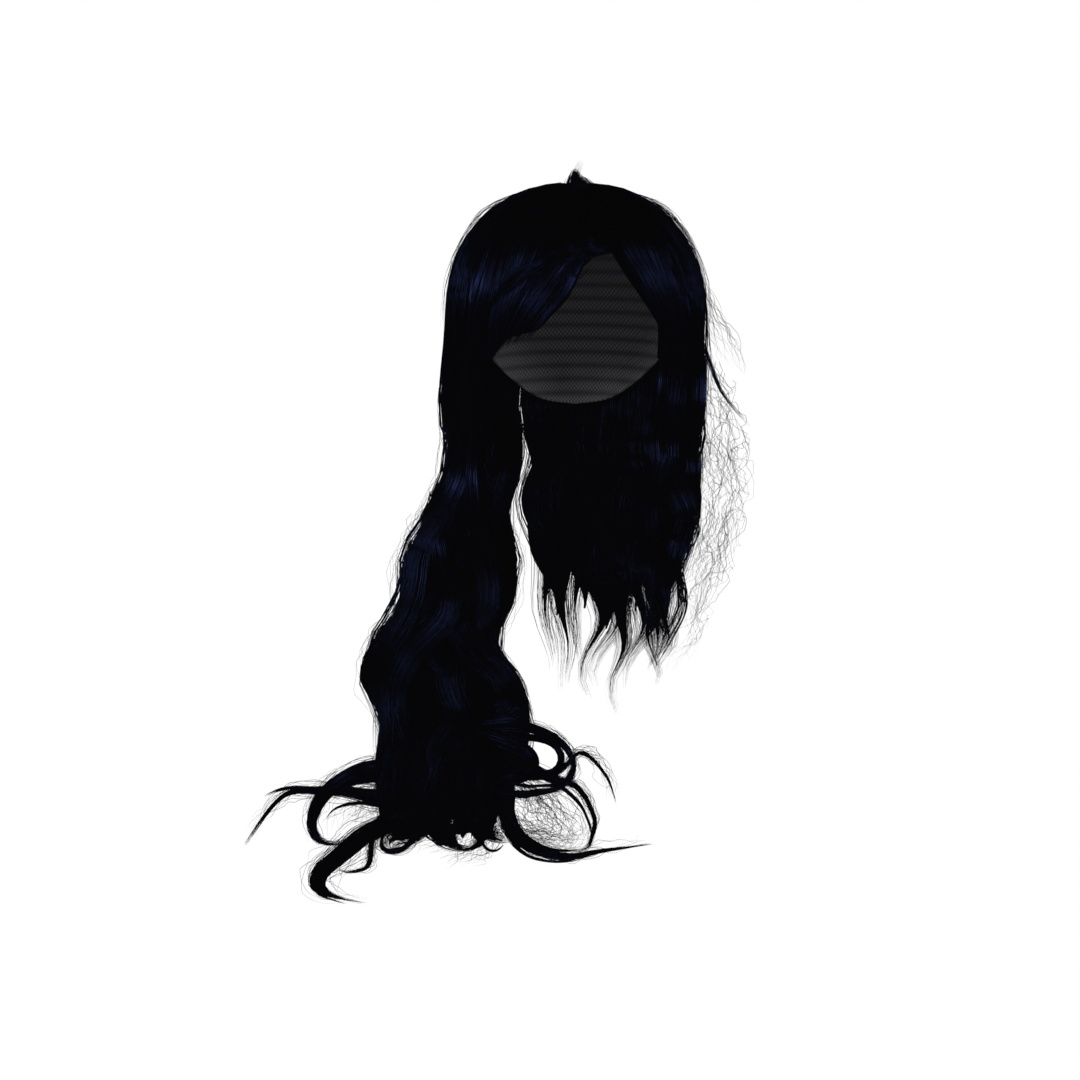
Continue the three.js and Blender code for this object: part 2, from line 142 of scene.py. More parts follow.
# %% The Wire class
class Wire:
    """One output socket of a node tree."""

    def __init__(self, tree, socket=None):
        self.tree = tree
        self.socket = socket

    def node(self, kind, settings=None, values=None, output=None):
        """Adds a node: its settings first, then its sockets' values or links."""
        made = self.tree.nodes.new(kind)
        for name, value in (settings or {}).items():
            setattr(made, name, value)
        for key, value in (values or {}).items():
            socket = Wire.pick(made.inputs, key)
            if isinstance(value, Wire):
                self.tree.links.new(value.socket, socket)
            else:
                socket.default_value = value
        return Wire(self.tree, Wire.pick(made.outputs, output))

    @staticmethod
    def pick(sockets, key):
        """A socket by its place, or the first one in use with that name, or the first in use."""
        if isinstance(key, int):
            return sockets[key]
        return next((s for s in sockets if s.enabled and key in (None, s.name)), None)

    def is_vector(self):
        return self.socket.type in ("VECTOR", "RGBA")

    def maths(self, operation, *terms):
        vectors = [t for t in terms if isinstance(t, tuple) or isinstance(t, Wire) and t.is_vector()]
        if not vectors:
            return self.node("ShaderNodeMath", {"operation": operation}, dict(enumerate(terms)))
        if operation == "MULTIPLY" and len(vectors) == 1:
            scale = next(t for t in terms if t is not vectors[0])
            values = {"Vector": vectors[0], "Scale": scale}
            return self.node("ShaderNodeVectorMath", {"operation": "SCALE"}, values)
        return self.node("ShaderNodeVectorMath", {"operation": operation}, dict(enumerate(terms)))

    def __add__(self, other):
        return self.maths("ADD", self, other)

    def __radd__(self, other):
        return self.maths("ADD", other, self)

    def __sub__(self, other):
        return self.maths("SUBTRACT", self, other)

    def __rsub__(self, other):
        return self.maths("SUBTRACT", other, self)

    def __mul__(self, other):
        return self.maths("MULTIPLY", self, other)

    def __rmul__(self, other):
        return self.maths("MULTIPLY", other, self)

    def __pow__(self, other):
        return self.maths("POWER", self, other)

    def sine(self):
        return self.maths("SINE", self)

    def cosine(self):
        return self.maths("COSINE", self)

    def mixed(self, first, second):
        """A colour between two. This number is the second one's share."""
        return self.node("ShaderNodeMix", {"data_type": "RGBA"}, {"Factor": self, 6: first, 7: second}, 2)

    def bump(self, strength, distance):
        """The normal of a surface that has this number as its height."""
        return self.node("ShaderNodeBump", {}, {"Strength": strength, "Distance": distance, "Height": self})

    def parts(self):
        """The three numbers of a vector."""
        split = self.tree.nodes.new("ShaderNodeSeparateXYZ")
        self.tree.links.new(self.socket, split.inputs[0])
        return [Wire(self.tree, out) for out in split.outputs]


print("Wire is ready")

# %% Helpers for nodes
def vector(x, y, z):
    """A vector of three numbers, at least one of them a Wire."""
    wire = next(v for v in (x, y, z) if isinstance(v, Wire))
    return wire.node("ShaderNodeCombineXYZ", {}, {"X": x, "Y": y, "Z": z})


def finish_of(name):
    """A new material, as (material, its shader, a Wire to build on)."""
    material = bpy.data.materials.new(name)
    material.use_nodes = True
    return material, material.node_tree.nodes["Principled BSDF"], Wire(material.node_tree)


def feed(shader, socket, wire):
    wire.tree.links.new(wire.socket, shader.inputs[socket])


print("node helpers are ready")

# %% [markdown]
# The world is an even white, which gives the picture its white ground. Its light on the wig is far weaker
# than that, or every hair would carry a grey shine: `Is Camera Ray` is 1 only for what is seen directly.

# %% World
WORLD_LIGHT = 0.18

world = bpy.data.worlds.new("white_studio")
world.use_nodes = True
background = world.node_tree.nodes["Background"]
background.inputs["Color"].default_value = (1, 1, 1, 1)
seen = Wire(world.node_tree).node("ShaderNodeLightPath", {}, {}, "Is Camera Ray")
feed(background, "Strength", WORLD_LIGHT + (1 - WORLD_LIGHT) * seen)
bpy.context.scene.world = world
bpy.context.scene.view_settings.view_transform = "Standard"
print("world:", world.name)

# %% [markdown]
# ## Finishes
# Black hair is nearly all shine: the fibre itself is almost black, and a thin blue reflection runs along
# it. A metallic surface has just that: its colour is the colour of its reflection, and its Specular Tint is
# what it reflects at a glancing angle, which is kept low here because a plain gloss would turn white there.
# A trace of emission stands for the light that scatters between the fibres. Each strand carries a UV map of
# its own. Its U is the strand's tone, a number from 0 to 1 that stays the same all along it, and its V runs
# from root to tip. So one small recipe gives every strand its own shine. A painted shade makes the tone
# count for less near the crown, so the shine is dimmed on the top of the head.

# %% Hair finish
STRAND_UV = "OFBake"
DULL_STRAND = (0.00010, 0.00015, 0.00055, 1)
BRIGHT_STRAND = (0.00090, 0.00135, 0.0050, 1)
# painted shade: the heights over which the strands' tone, and so their shine, fades towards the crown
CROWN_PAINTED_SHADE = {"From Min": -26 * MM, "From Max": -56 * MM, "To Min": 0.2, "To Max": 1.0}
FIBRE = {
    "Metallic": 1.0,
    "Specular Tint": (0.10, 0.12, 0.20, 1),
    "Emission Color": (0.0017, 0.0017, 0.0020, 1),
    "Emission Strength": 1.0,
}


def set_inputs(shader, values):
    """Constants on the shader's own sockets."""
    for name, value in values.items():
        shader.inputs[name].default_value = value


def map_of(wire, name):
    """U and V of one of the mesh's UV maps."""
    return wire.node("ShaderNodeUVMap", {"uv_map": name}).parts()[:2]


def height_of(wire):
    """The height of a point in the wig's own frame."""
    return wire.node("ShaderNodeTexCoord", {}, {}, "Object").parts()[2]


hair_finish, shader, wire = finish_of("black_hair")
tone, along = map_of(wire, STRAND_UV)
shade_range = {"Value": height_of(wire), **CROWN_PAINTED_SHADE}
# painted shade on the top of the head
painted_crown_shade = wire.node("ShaderNodeMapRange", {"interpolation_type": "SMOOTHSTEP"}, shade_range)
feed(shader, "Base Color", (tone * painted_crown_shade).mixed(DULL_STRAND, BRIGHT_STRAND))
feed(shader, "Roughness", 0.17 + 0.09 * tone + 0.08 * along)
set_inputs(shader, FIBRE)
print("hair finish:", hair_finish.name)

# %% [markdown]
# The cores lie under the strands and show only in the gaps. Fine grooves along the flow are enough there.
# They come from a noise that is stretched along V, on the core's own UV map.

# %% Core finish
CORE_UV = "flow"
CORE_BLACK = (0.00004, 0.00005, 0.0001, 1)
GROOVES_AROUND = 14
GROOVES_ALONG = 1.2

core_finish, shader, wire = finish_of("hair_core")
around, along = map_of(wire, CORE_UV)
place = vector(around * GROOVES_AROUND, along * GROOVES_ALONG, 0.0)
grooves = wire.node("ShaderNodeTexNoise", {}, {"Vector": place, "Scale": 3.0, "Detail": 4.0}, "Fac")
feed(shader, "Base Color", grooves.mixed(CORE_BLACK, DULL_STRAND))
feed(shader, "Roughness", 0.55 + 0.3 * grooves)
feed(shader, "Normal", grooves.bump(0.9, 3 * MM))
set_inputs(shader, FIBRE)
print("core finish:", core_finish.name)

# %% [markdown]
# The cap is a stretch net. Two fine waves that cross make its mesh, as bump and as a change of shade. The
# wefts, the strips that carry the hair, are sewn round it row by row and show as darker bands. The cap lies
# deep inside the hair, so a faint glow of its own colour stands for the light that comes in at the face. A
# painted shade darkens both its colour and its glow towards the crown.

# %% Cap finish
CAP_UV = "net"
NET_GAP = (0.0012, 0.0012, 0.0013, 1)
NET_THREAD = (0.0075, 0.0073, 0.0080, 1)
NET_GLOW = 4.0
NET_WAVES = (900.0, 620.0)  # round the cap and down it
WEFT_STEP = 11.0  # from one row of wefts to the next, in millimetres

cap_finish, shader, wire = finish_of("cap_net")
net_u, net_v = map_of(wire, CAP_UV)
threads = 0.5 + 0.5 * (net_u * NET_WAVES[0]).sine() * (net_v * NET_WAVES[1]).sine()
height = height_of(wire)
weft = (height * (math.pi / WEFT_STEP / MM)).cosine() ** 2.0
# painted shade: the net's colour and glow grow darker towards the crown
depth = 0.2 - 5.0 * height
shade = threads * (1.0 - 0.75 * weft ** 2.0) * depth
colour = shade.mixed(NET_GAP, NET_THREAD)
feed(shader, "Base Color", colour)
feed(shader, "Emission Color", colour)
feed(shader, "Normal", threads.bump(0.5, 0.6 * MM))
set_inputs(shader, {"Emission Strength": NET_GLOW, "Roughness": 0.85, "Specular IOR Level": 0.05})
print("cap finish:", cap_finish.name)

# %% [markdown]
# The floor is as white as the ground behind it. It glows evenly and takes almost no light, so no edge shows
# where the two meet.

# %% Floor finish
PALE_GLOW = {
    "Base Color": (0.004, 0.004, 0.004, 1),
    "Roughness": 0.9,
    "Specular IOR Level": 0.0,
    "Emission Color": (1, 1, 1, 1),
    "Emission Strength": 0.985,
}
floor_finish, shader, _ = finish_of("pale_floor")
set_inputs(shader, PALE_GLOW)
floor.data.materials.append(floor_finish)
print("floor finish:", floor_finish.name)

# %% [markdown]
# ## The head and its hair as formulas
# Everything on the head lies on an ellipsoid round one centre: the skull, or the hair, which is boxier.
# A point on it is found from an azimuth, counted from the forehead towards the right, and a polar angle,
# counted from the crown. Tables of rows become smooth curves in the way that many drawing programs use:
# each stretch between two rows also looks at the rows before and after it.

# %% Head formulas
SKULL = np.array([76, 96, 100, 1.0])  # half-width, half-depth, height, power
HAIR = np.array([100.5, 115, 113, 0.86])
CENTRE_Z = -100
CROWN_POLAR = 5
LOCK_TOP_Z = -119.5


def grown(shape, by):
    return shape + np.array([by, by, by, 0])


def on_head(shape, azimuth, polar):
    """Points on an ellipsoid, in millimetres."""
    azimuth, polar = np.radians(azimuth), np.radians(polar)
    half_width, half_depth, height, power = shape
    ring = np.sin(polar) ** power
    rise = np.cos(polar)
    rise = np.sign(rise) * np.abs(rise) ** power
    return np.stack([
        half_width * ring * np.sin(azimuth),
        -half_depth * ring * np.cos(azimuth),
        height * rise + CENTRE_Z,
    ], axis=-1)


def polar_at(shape, z):
    rise = (np.asarray(z, float) - CENTRE_Z) / shape[2]
    return np.degrees(np.arccos(np.sign(rise) * np.abs(rise) ** (1 / shape[3])))


def unit(v):
    return v / np.maximum(np.linalg.norm(v, axis=-1, keepdims=True), 1e-9)


def head_axes(shape, azimuth, polar):
    """The direction of rising azimuth, in millimetres to a degree, and the unit normal."""
    across = on_head(shape, azimuth + 0.5, polar) - on_head(shape, azimuth - 0.5, polar)
    down = on_head(shape, azimuth, polar + 0.5) - on_head(shape, azimuth, polar - 0.5)
    return across, unit(np.cross(down, across))


print("the skull in mm:", SKULL[:3], "the hair:", HAIR[:3])

# %% Smooth curves
def refined(rows, steps):
    """A table's rows on a smooth curve, with so many steps from each row to the next."""
    rows = np.array(rows, float)
    padded = np.vstack([rows[:1], rows, rows[-1:]])
    places = np.linspace(0, len(rows) - 1, (len(rows) - 1) * steps + 1)
    first = np.minimum(places.astype(int), len(rows) - 2)
    t = (places - first)[:, None]
    before, start, end, after = (padded[first + k] for k in range(4))
    bend = 2 * before - 5 * start + 4 * end - after
    twist = 3 * (start - end) + after - before
    return start + 0.5 * t * (end - before + t * (bend + t * twist))


def ease(low, high, x):
    t = np.clip((np.asarray(x, float) - low) / (high - low), 0, 1)
    return t * t * (3 - 2 * t)


print("crown of the hair in mm:", on_head(HAIR, np.array(0.0), np.array(0.0)))

# %% [markdown]
# ## The long locks
# Ten locks come forward on the left, and fourteen hang down the right side and the back. A lock is a path
# with a direction across it and a direction out of it, each as long as the lock's half-size there. It
# starts at the crown, runs down over the head just under the outer surface, and then hangs free in waves.
# Fewer, wider and plainer ones lie among them as backing.

# %% Tables of the long locks
LEFT_TRESS = [  # x, y, z, turn in degrees, bow, half-width, half-thickness of the whole band
    (-60, 16, LOCK_TOP_Z, 79, 31, 77, 9.5),
    (-68, 10, -150, 78, 30, 72, 10),
    (-67, 5, -182, 74, 24, 67, 10),
    (-69, -2, -213, 70, 15, 61, 11),
    (-81, -16, -242, 58, 7, 58, 12),
    (-88, -30, -271, 46, 2, 54, 12),
    (-94, -44, -300, 36, 0, 51, 12),
    (-105, -56, -329, 26, 0, 51, 13),
    (-97, -70, -358, 14, 0, 58, 13),
    (-94, -83, -383, 8, 0, 57, 13),
    (-97, -98, -408, 4, 0, 54, 12),
    (-95, -114, -428, 0, 0, 47, 10),
    (-93, -132, -441, 0, 0, 44, 7),
    (-91, -148, -447, 0, 0, 42, 5),
    (-90, -163, -451, 0, 0, 38, 3),
]
LEFT_CROWN = (311, 207)  # azimuths at the crown, from the lock at the face to the one behind the ear
LEFT_AZIMUTHS = (307, 207)  # the same where the locks leave the head
BACK_CURTAIN = [  # x, y, z, half-sizes of the ring, half-thickness of the locks on it
    (0, 0, LOCK_TOP_Z, 89.5, 106, 9.5),
    (0, 3, -150, 92, 101, 9.5),
    (0, 10, -190, 91, 90, 10),
    (1, 20, -230, 86, 77, 10),
    (2, 30, -270, 79, 67, 10),
    (3, 39, -310, 79, 60, 10),
    (4, 46, -350, 69, 55, 10),
    (5, 51, -390, 63, 51, 9),
    (6, 54, -420, 60, 49, 6.5),
    (6, 55, -440, 59, 48, 2),
]
BACK_CROWN = (49, 207)
BACK_AZIMUTHS = (57, 207)
WAVE = {"across": 5, "out": 4, "length": 116, "start": -130, "full": -230}
print("rows:", len(LEFT_TRESS), "for the band on the left,", len(BACK_CURTAIN), "for the curtain")

# %% Below the head
def waved(middle, across, outward):
    """Moves a lock's middle by the waves that all the long locks share."""
    z = middle[:, 2]
    grows = ease(-WAVE["start"], -WAVE["full"], -z)[:, None]
    phase = ((WAVE["start"] - z) / WAVE["length"] * 2 * np.pi)[:, None]
    return middle + grows * (
        WAVE["across"] * np.sin(phase) * unit(across) + WAVE["out"] * np.cos(phase) * outward
    )


def left_sections(share):
    """Middle, half-width vector of the band and half-thickness vector down one lock of it."""
    x, y, z, turn, bow, half_width, half_thick = refined(LEFT_TRESS, 6).T[:, :, None]
    turn = np.radians(turn)
    flat = np.zeros_like(turn)
    width = np.hstack([np.cos(turn), np.sin(turn), flat])
    out = np.hstack([-np.sin(turn), np.cos(turn), flat])
    middle = np.hstack([x, y, z]) + half_width * share * width + bow * (1 - share**2) * out
    across = half_width * width - 2 * bow * share * out
    outward = unit(np.stack([-across[:, 1], across[:, 0], flat[:, 0]], axis=1))
    return waved(middle, across, outward), across, outward * half_thick


def back_sections(azimuth):
    """The same for the curtain, where the width is that of one degree."""
    x, y, z, ring_x, ring_y, half_thick = refined(BACK_CURTAIN, 6).T[:, :, None]
    angle = np.radians(azimuth)
    flat = np.zeros_like(x)
    middle = np.hstack([x + ring_x * np.sin(angle), y - ring_y * np.cos(angle), z])
    across = np.hstack([ring_x * np.cos(angle), ring_y * np.sin(angle), flat]) * np.radians(1)
    outward = unit(np.stack([across[:, 1], -across[:, 0], flat[:, 0]], axis=1))
    return waved(middle, across, outward), across, outward * half_thick


print("the curtain's middle at the back, in mm:", back_sections(180)[0][0].round(1))

# %% Over the head
HEAD_END_Z = -104
HEAD_ROWS = 24
TURN_POLAR = (CROWN_POLAR, 80)  # where the locks turn from their azimuth at the crown to the one below
RIM_POLAR = (78, 104)  # where they leave the round of the head
LOCK_DEPTH = 2.2
RIM_DEPTH = 6


def over_head(crown, low):
    """The stretch of a lock from the crown to where it leaves the head. Crown and low are its azimuth and
    half-width in degrees at both ends."""
    polar = np.linspace(CROWN_POLAR, polar_at(HAIR, HEAD_END_Z), HEAD_ROWS)
    turn = ease(*TURN_POLAR, polar)
    azimuth = crown[0] + (low[0] - crown[0]) * turn
    half_sector = crown[1] + (low[1] - crown[1]) * turn
    depth = LOCK_DEPTH + RIM_DEPTH * ease(*RIM_POLAR, polar)[:, None]
    across, normal = head_axes(HAIR, azimuth, polar)
    return on_head(HAIR, azimuth, polar) - depth * normal, across * half_sector[:, None], depth * normal


print("the back's first points in mm:", over_head((180, 5), (180, 5))[0][:2].round(1))

# %% [markdown]
# A path is any number of points. A guide is a path with the points that the strands will have, in metres.
# It also holds a looseness from 0 to 1 at each point: how far strands may stray there.

# %% Paths and guides
def measured(middle):
    """How far along a path each of its points is."""
    return np.concatenate([[0], np.cumsum(np.linalg.norm(np.diff(middle, axis=0), axis=1))])


def sampled(rows, run, at):
    """Rows of numbers along a path, taken at other distances along it."""
    return np.stack([np.interp(at, run, column) for column in rows.T], axis=1)


def guide_at(path, shares):
    """A guide at shares of the way along a path: place, across, out and looseness."""
    run = measured(path[0])
    at = run[-1] * shares
    place, across, out = (sampled(rows, run, at) * MM for rows in path[:3])
    return place, across, out, np.interp(at, run, path[3])


def evenly(path, count, start=0.0, stop=1.0):
    """A guide of so many even points between two shares of a path."""
    return guide_at(path, np.linspace(start, stop, count))


def share_at(path, z):
    """The share of a lock's length where it comes down to a height."""
    run = measured(path[0])
    return run[np.argmax(path[0][:, 2] < z)] / run[-1]


def shortened(path, share):
    """The upper part of a path, gathered to a point at its end."""
    run = measured(path[0])
    kept = run <= share * run[-1]
    middle, across, out, loose = (column[kept] for column in path)
    gathered = 1 - 0.7 * ease(0.8, 1.0, run[kept] / run[kept][-1])[:, None]
    return middle, across * gathered, out * gathered, loose


print("path helpers are ready")

# %% Whole locks
EVEN_STEP = 6.0
ROUNDING = 14  # how often the bend is rounded
HANG_START = 8  # rows at the top of a section that the stretch over the head stands for
OWN_LENGTHS = (84, 118)
BEND_STARTS = (80, 105)  # these are in millimetres below the crown
BEND_ENDS = (160, 185)
WAVE_GROWS = (125, 235)
WAVE_FADES = (405, 440)
LOOSENS = (100, 260)
dice = np.random.default_rng(5)


def evened(columns):
    """The same path at even steps, with the bend rounded off where the hair leaves the head."""
    run = measured(columns[0])
    columns = [sampled(column, run, np.arange(0, run[-1], EVEN_STEP)) for column in columns]
    below = -columns[0][:, 2:]
    near = ease(*BEND_STARTS, below) * (1 - ease(*BEND_ENDS, below))
    for _ in range(ROUNDING):
        for column in columns:
            column += near * ((np.roll(column, 1, axis=0) + np.roll(column, -1, axis=0)) / 2 - column)
    return columns


def own_wave(z):
    """A lock's own wave, out of step with its neighbours', as two numbers for each height."""
    length = dice.uniform(*OWN_LENGTHS)
    turn = -z / length * 2 * np.pi + dice.uniform(0, 2 * np.pi)
    grows = ease(*WAVE_GROWS, -z) * (1 - 0.7 * ease(*WAVE_FADES, -z))
    return (grows * np.sin(turn))[:, None], (grows * np.cos(turn))[:, None]


def long_lock(crown, low, sections, wave):
    """A whole lock, from crown to tip. Wave is how far its own wave goes across and out."""
    below = [column[HANG_START:] for column in sections]
    middle, across, out = evened([np.vstack(pair) for pair in zip(over_head(crown, low), below)])
    sideways, outwards = own_wave(middle[:, 2])
    middle = middle + wave[0] * sideways * unit(across) + wave[1] * outwards * unit(out)
    return middle, across, out, 0.3 + 0.7 * ease(*LOOSENS, -middle[:, 2])


print("a lock's own waves are", OWN_LENGTHS, "mm long")

# %% Locks side by side
def sectors(count, edges, overlap):
    """Azimuth and half-width of so many sectors between two azimuths, each too wide by the overlap."""
    width = (edges[1] - edges[0]) / count
    return [(edges[0] + width * (k + 0.5), width / 2 * overlap) for k in range(count)]


def band_locks(count, overlap, wave):
    """So many locks across the band on the left."""
    ends = zip(sectors(count, LEFT_CROWN, overlap), sectors(count, LEFT_AZIMUTHS, overlap))
    locks = []
    for k, (crown, low) in enumerate(ends):
        share = (2 * k + 1) / count - 1
        middle, across, out = left_sections(share)
        own = (wave[0] * (1.4 - share**2), wave[1])
        locks.append(long_lock(crown, low, (middle, across * overlap / count, out), own))
    return locks


def curtain_locks(count, overlap, wave):
    """The same for the right side and the back."""
    ends = zip(sectors(count, BACK_CROWN, overlap), sectors(count, BACK_AZIMUTHS, overlap))
    locks = []
    for crown, low in ends:
        middle, across, out = back_sections(low[0])
        locks.append(long_lock(crown, low, (middle, across * low[1], out), wave))
    return locks


print("lock helpers are ready")

# %% [markdown]
# The ends of the curtain are uneven, as on any worn wig: each of its locks stops at its own share of the
# full length.

# %% All the long locks
NO_WAVE = (0, 0)
LOCK_WAVE = (7.0, 6.0)
SIDE_LOCKS = 5  # of the curtain's locks, those on the right side of the head
CURTAIN_LENGTHS = (0.90, 0.89, 0.86, 0.84, 0.86, 0.91, 0.96, 0.93, 1.0, 0.95, 0.98, 0.92, 0.97, 0.94)

left_backing = band_locks(5, 1.1, NO_WAVE)
back_backing = curtain_locks(8, 1.15, NO_WAVE)
left_locks = band_locks(10, 1.5, LOCK_WAVE)
back_locks = curtain_locks(14, 1.5, LOCK_WAVE)
back_locks = [shortened(path, share) for path, share in zip(back_locks, CURTAIN_LENGTHS)]
print("long locks:", len(left_locks), "left and", len(back_locks), "right and back")

# %% [markdown]
# ## Strands from guides, with Geometry Nodes
# Hair could be a particle system, but that isn't a mesh. Here a Geometry Nodes tree makes it from guides:
# 1. each guide is a polyline, and `Duplicate Elements` copies it into wisps and each wisp into strands;
# 2. `Set Position` moves every copy sideways and outwards along the guide's own two directions. A strand
#    strays further from its wisp at the root than at the tip, so the wisps gather as they run down;
# 3. two noises bend the copies, one for a whole wisp and one for each strand;
# 4. `Trim Curve` makes some shorter, and `Curve to Mesh` gives each a thin closed tube that tapers.

# %% The strand tree
STRAND_INPUTS = {  # name: socket type
    "Guides": "NodeSocketGeometry",
    "Wisps": "NodeSocketInt",
    "Strands": "NodeSocketInt",
    "Wisp reach": "NodeSocketFloat",
    "Root reach": "NodeSocketFloat",
    "Tip reach": "NodeSocketFloat",
    "Wisp wave": "NodeSocketFloat",
    "Frizz": "NodeSocketFloat",
    "Bends": "NodeSocketFloat",
    "Radius": "NodeSocketFloat",
    "Shortest": "NodeSocketFloat",
    "Rim": "NodeSocketFloat",
    "Floor": "NodeSocketFloat",
    "Shine": "NodeSocketFloat",
    "Seed": "NodeSocketInt",
    "Material": "NodeSocketMaterial",
}
strand_tree = bpy.data.node_groups.new("hair_strands", "GeometryNodeTree")
for name, kind in STRAND_INPUTS.items():
    strand_tree.interface.new_socket(name, in_out="INPUT", socket_type=kind)
strand_tree.interface.new_socket("Strands", in_out="OUTPUT", socket_type="NodeSocketGeometry")
entry = strand_tree.nodes.new("NodeGroupInput")
given = {name: Wire(strand_tree, entry.outputs[name]) for name in STRAND_INPUTS}
knot = Wire(strand_tree)
print("inputs of the tree:", len(given))

# %% Helpers for the strand tree
def noted(geometry, name, value, domain="CURVE", kind="FLOAT_VECTOR"):
    """Writes a value on the geometry under a name."""
    settings = {"data_type": kind, "domain": domain}
    values = {"Geometry": geometry, "Name": name, "Value": value}
    return knot.node("GeometryNodeStoreNamedAttribute", settings, values)


def named(name, kind="FLOAT_VECTOR"):
    """Reads such a value."""
    return knot.node("GeometryNodeInputNamedAttribute", {"data_type": kind}, {"Name": name})


def chance(offset):
    """Three random numbers from 0 to 1."""
    values = {"Min": (0, 0, 0), "Max": (1, 1, 1), "Seed": given["Seed"] + offset}
    return knot.node("FunctionNodeRandomValue", {"data_type": "FLOAT_VECTOR"}, values)


def disc(numbers):
    """A place in a disc from two random numbers, and the third number kept."""
    turn, far, rest = numbers.parts()
    angle = turn * (2 * math.pi)
    reach = far ** given["Rim"]
    return vector(reach * angle.cosine(), reach * angle.sine(), rest)


def duplicated(curves, amount):
    values = {"Geometry": curves, "Amount": amount}
    return knot.node("GeometryNodeDuplicateElements", {"domain": "SPLINE"}, values)


print("nodes so far:", len(strand_tree.nodes))

# %% From guides to strands
NOISE_APART = 97.0  # steps through the noise, so that no two strands bend alike
SEED_APART = 1.7
PILE = 2.2 * MM  # how high strands lie on each other on the surface below

hair = knot.node("GeometryNodeMeshToCurve", {}, {"Mesh": given["Guides"]})
hair = noted(duplicated(hair, given["Wisps"]), "wisp", disc(chance(1)))
hair = noted(duplicated(hair, given["Strands"]), "strand", disc(chance(2)))

wisp_u, wisp_v, wisp_draw = named("wisp").parts()
strand_u, strand_v, strand_draw = named("strand").parts()
along = knot.node("GeometryNodeSplineParameter", {}, {}, "Factor")
loose = named("loose", "FLOAT")
reach = given["Root reach"] + (given["Tip reach"] - given["Root reach"]) * loose
place_u = wisp_u * given["Wisp reach"] + strand_u * reach
place_v = wisp_v * given["Wisp reach"] + strand_v * reach


def bends(number, often, seed_step):
    """A smooth random vector along each strand, about -1 to 1."""
    seed = given["Seed"] * SEED_APART + seed_step
    place = vector(along * given["Bends"] * often, number * NOISE_APART, seed)
    cloud = knot.node("ShaderNodeTexNoise", {}, {"Vector": place, "Scale": 1.0, "Detail": 1.0}, "Color")
    return (cloud - (0.5, 0.5, 0.5)) * 3.0


offset = named("across") * place_u + named("out") * place_v
offset = offset + bends(wisp_draw, 1.0, 0.3) * (given["Wisp wave"] * loose)
offset = offset + bends(strand_draw, 3.0, 5.1) * (given["Frizz"] * (0.15 + 0.85 * loose))
hair = knot.node("GeometryNodeSetPosition", {}, {"Geometry": hair, "Offset": offset})
x, y, z = knot.node("GeometryNodeInputPosition").parts()
lifted = z.maths("MAXIMUM", z, given["Floor"] + PILE * strand_draw)
hair = knot.node("GeometryNodeSetPosition", {}, {"Geometry": hair, "Position": vector(x, y, lifted)})
ends = chance(3).parts()[0]
ends = given["Shortest"] + (1.0 - given["Shortest"]) * ends ** 0.5
hair = knot.node("GeometryNodeTrimCurve", {"mode": "FACTOR"}, {"Curve": hair, "End": ends})
print("nodes so far:", len(strand_tree.nodes))

# %% From strands to tubes
hair = noted(hair, "tone", (0.55 * wisp_draw + 0.45 * strand_draw) * given["Shine"], "POINT", "FLOAT")
hair = noted(hair, "along", along, "POINT", "FLOAT")
ring = knot.node("GeometryNodeCurvePrimitiveCircle", {}, {"Resolution": 3, "Radius": 1.0})
ring = noted(ring, "around", along, "POINT", "FLOAT")
taper = (1.0 - 0.9 * along ** 3.0) * (0.65 + 0.6 * wisp_draw)
shape = {"Curve": hair, "Profile Curve": ring, "Scale": given["Radius"] * taper, "Fill Caps": True}
tubes = knot.node("GeometryNodeCurveToMesh", {}, shape)
uv_u = 0.01 + 0.95 * named("tone", "FLOAT") + 0.03 * named("around", "FLOAT")
uv_v = 0.01 + 0.98 * named("along", "FLOAT")
tubes = noted(tubes, STRAND_UV, vector(uv_u, uv_v, 0.0), "CORNER", "FLOAT2")
tubes = knot.node("GeometryNodeSetShadeSmooth", {}, {"Geometry": tubes})
tubes = knot.node("GeometryNodeRealizeInstances", {}, {"Geometry": tubes})
tubes = knot.node("GeometryNodeSetMaterial", {}, {"Geometry": tubes, "Material": given["Material"]})
leave = strand_tree.nodes.new("NodeGroupOutput")
strand_tree.links.new(tubes.socket, leave.inputs[0])
print("strand tree:", len(strand_tree.nodes), "nodes")

# %% [markdown]
# A guide mesh holds the polylines, with their two directions and their looseness as attributes. The
# modifier's inputs are set by each socket's identifier, and the evaluated result is copied to a plain mesh.

# %% Helpers that make a piece of hair
GUIDE_ATTRIBUTES = {"across": "FLOAT_VECTOR", "out": "FLOAT_VECTOR", "loose": "FLOAT"}
TREE_ATTRIBUTES = ("wisp", "strand", "tone", "along", "around")
ALL_HAIR = {"Material": hair_finish, "Floor": FLOOR_Z + 0.6 * MM, "Shine": 0.45}


def triangles(mesh):
    return sum(len(p.vertices) - 2 for p in mesh.polygons)


def add_piece(name, mesh, slot, *nodes):
    """A finished piece of the wig: it stands for those solids."""
    piece = new_object(name, mesh)
    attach(piece, "root")
    if nodes:
        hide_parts(*nodes)
    print(name, triangles(mesh), "triangles")


print("pieces are ready to be added")

# %% From guides to a piece
def guide_object(name, guides):
    mesh = bpy.data.meshes.new(name)
    starts = np.cumsum([0] + [len(g[0]) for g in guides])
    edges = [(s + k, s + k + 1) for s, g in zip(starts, guides) for k in range(len(g[0]) - 1)]
    mesh.from_pydata(np.vstack([g[0] for g in guides]).tolist(), edges, [])
    for column, (key, kind) in enumerate(GUIDE_ATTRIBUTES.items(), start=1):
        values = np.concatenate([np.ravel(g[column]) for g in guides])
        layer = mesh.attributes.new(key, kind, "POINT")
        layer.data.foreach_set("vector" if kind == "FLOAT_VECTOR" else "value", values.astype(np.float32))
    return new_object(name, mesh)


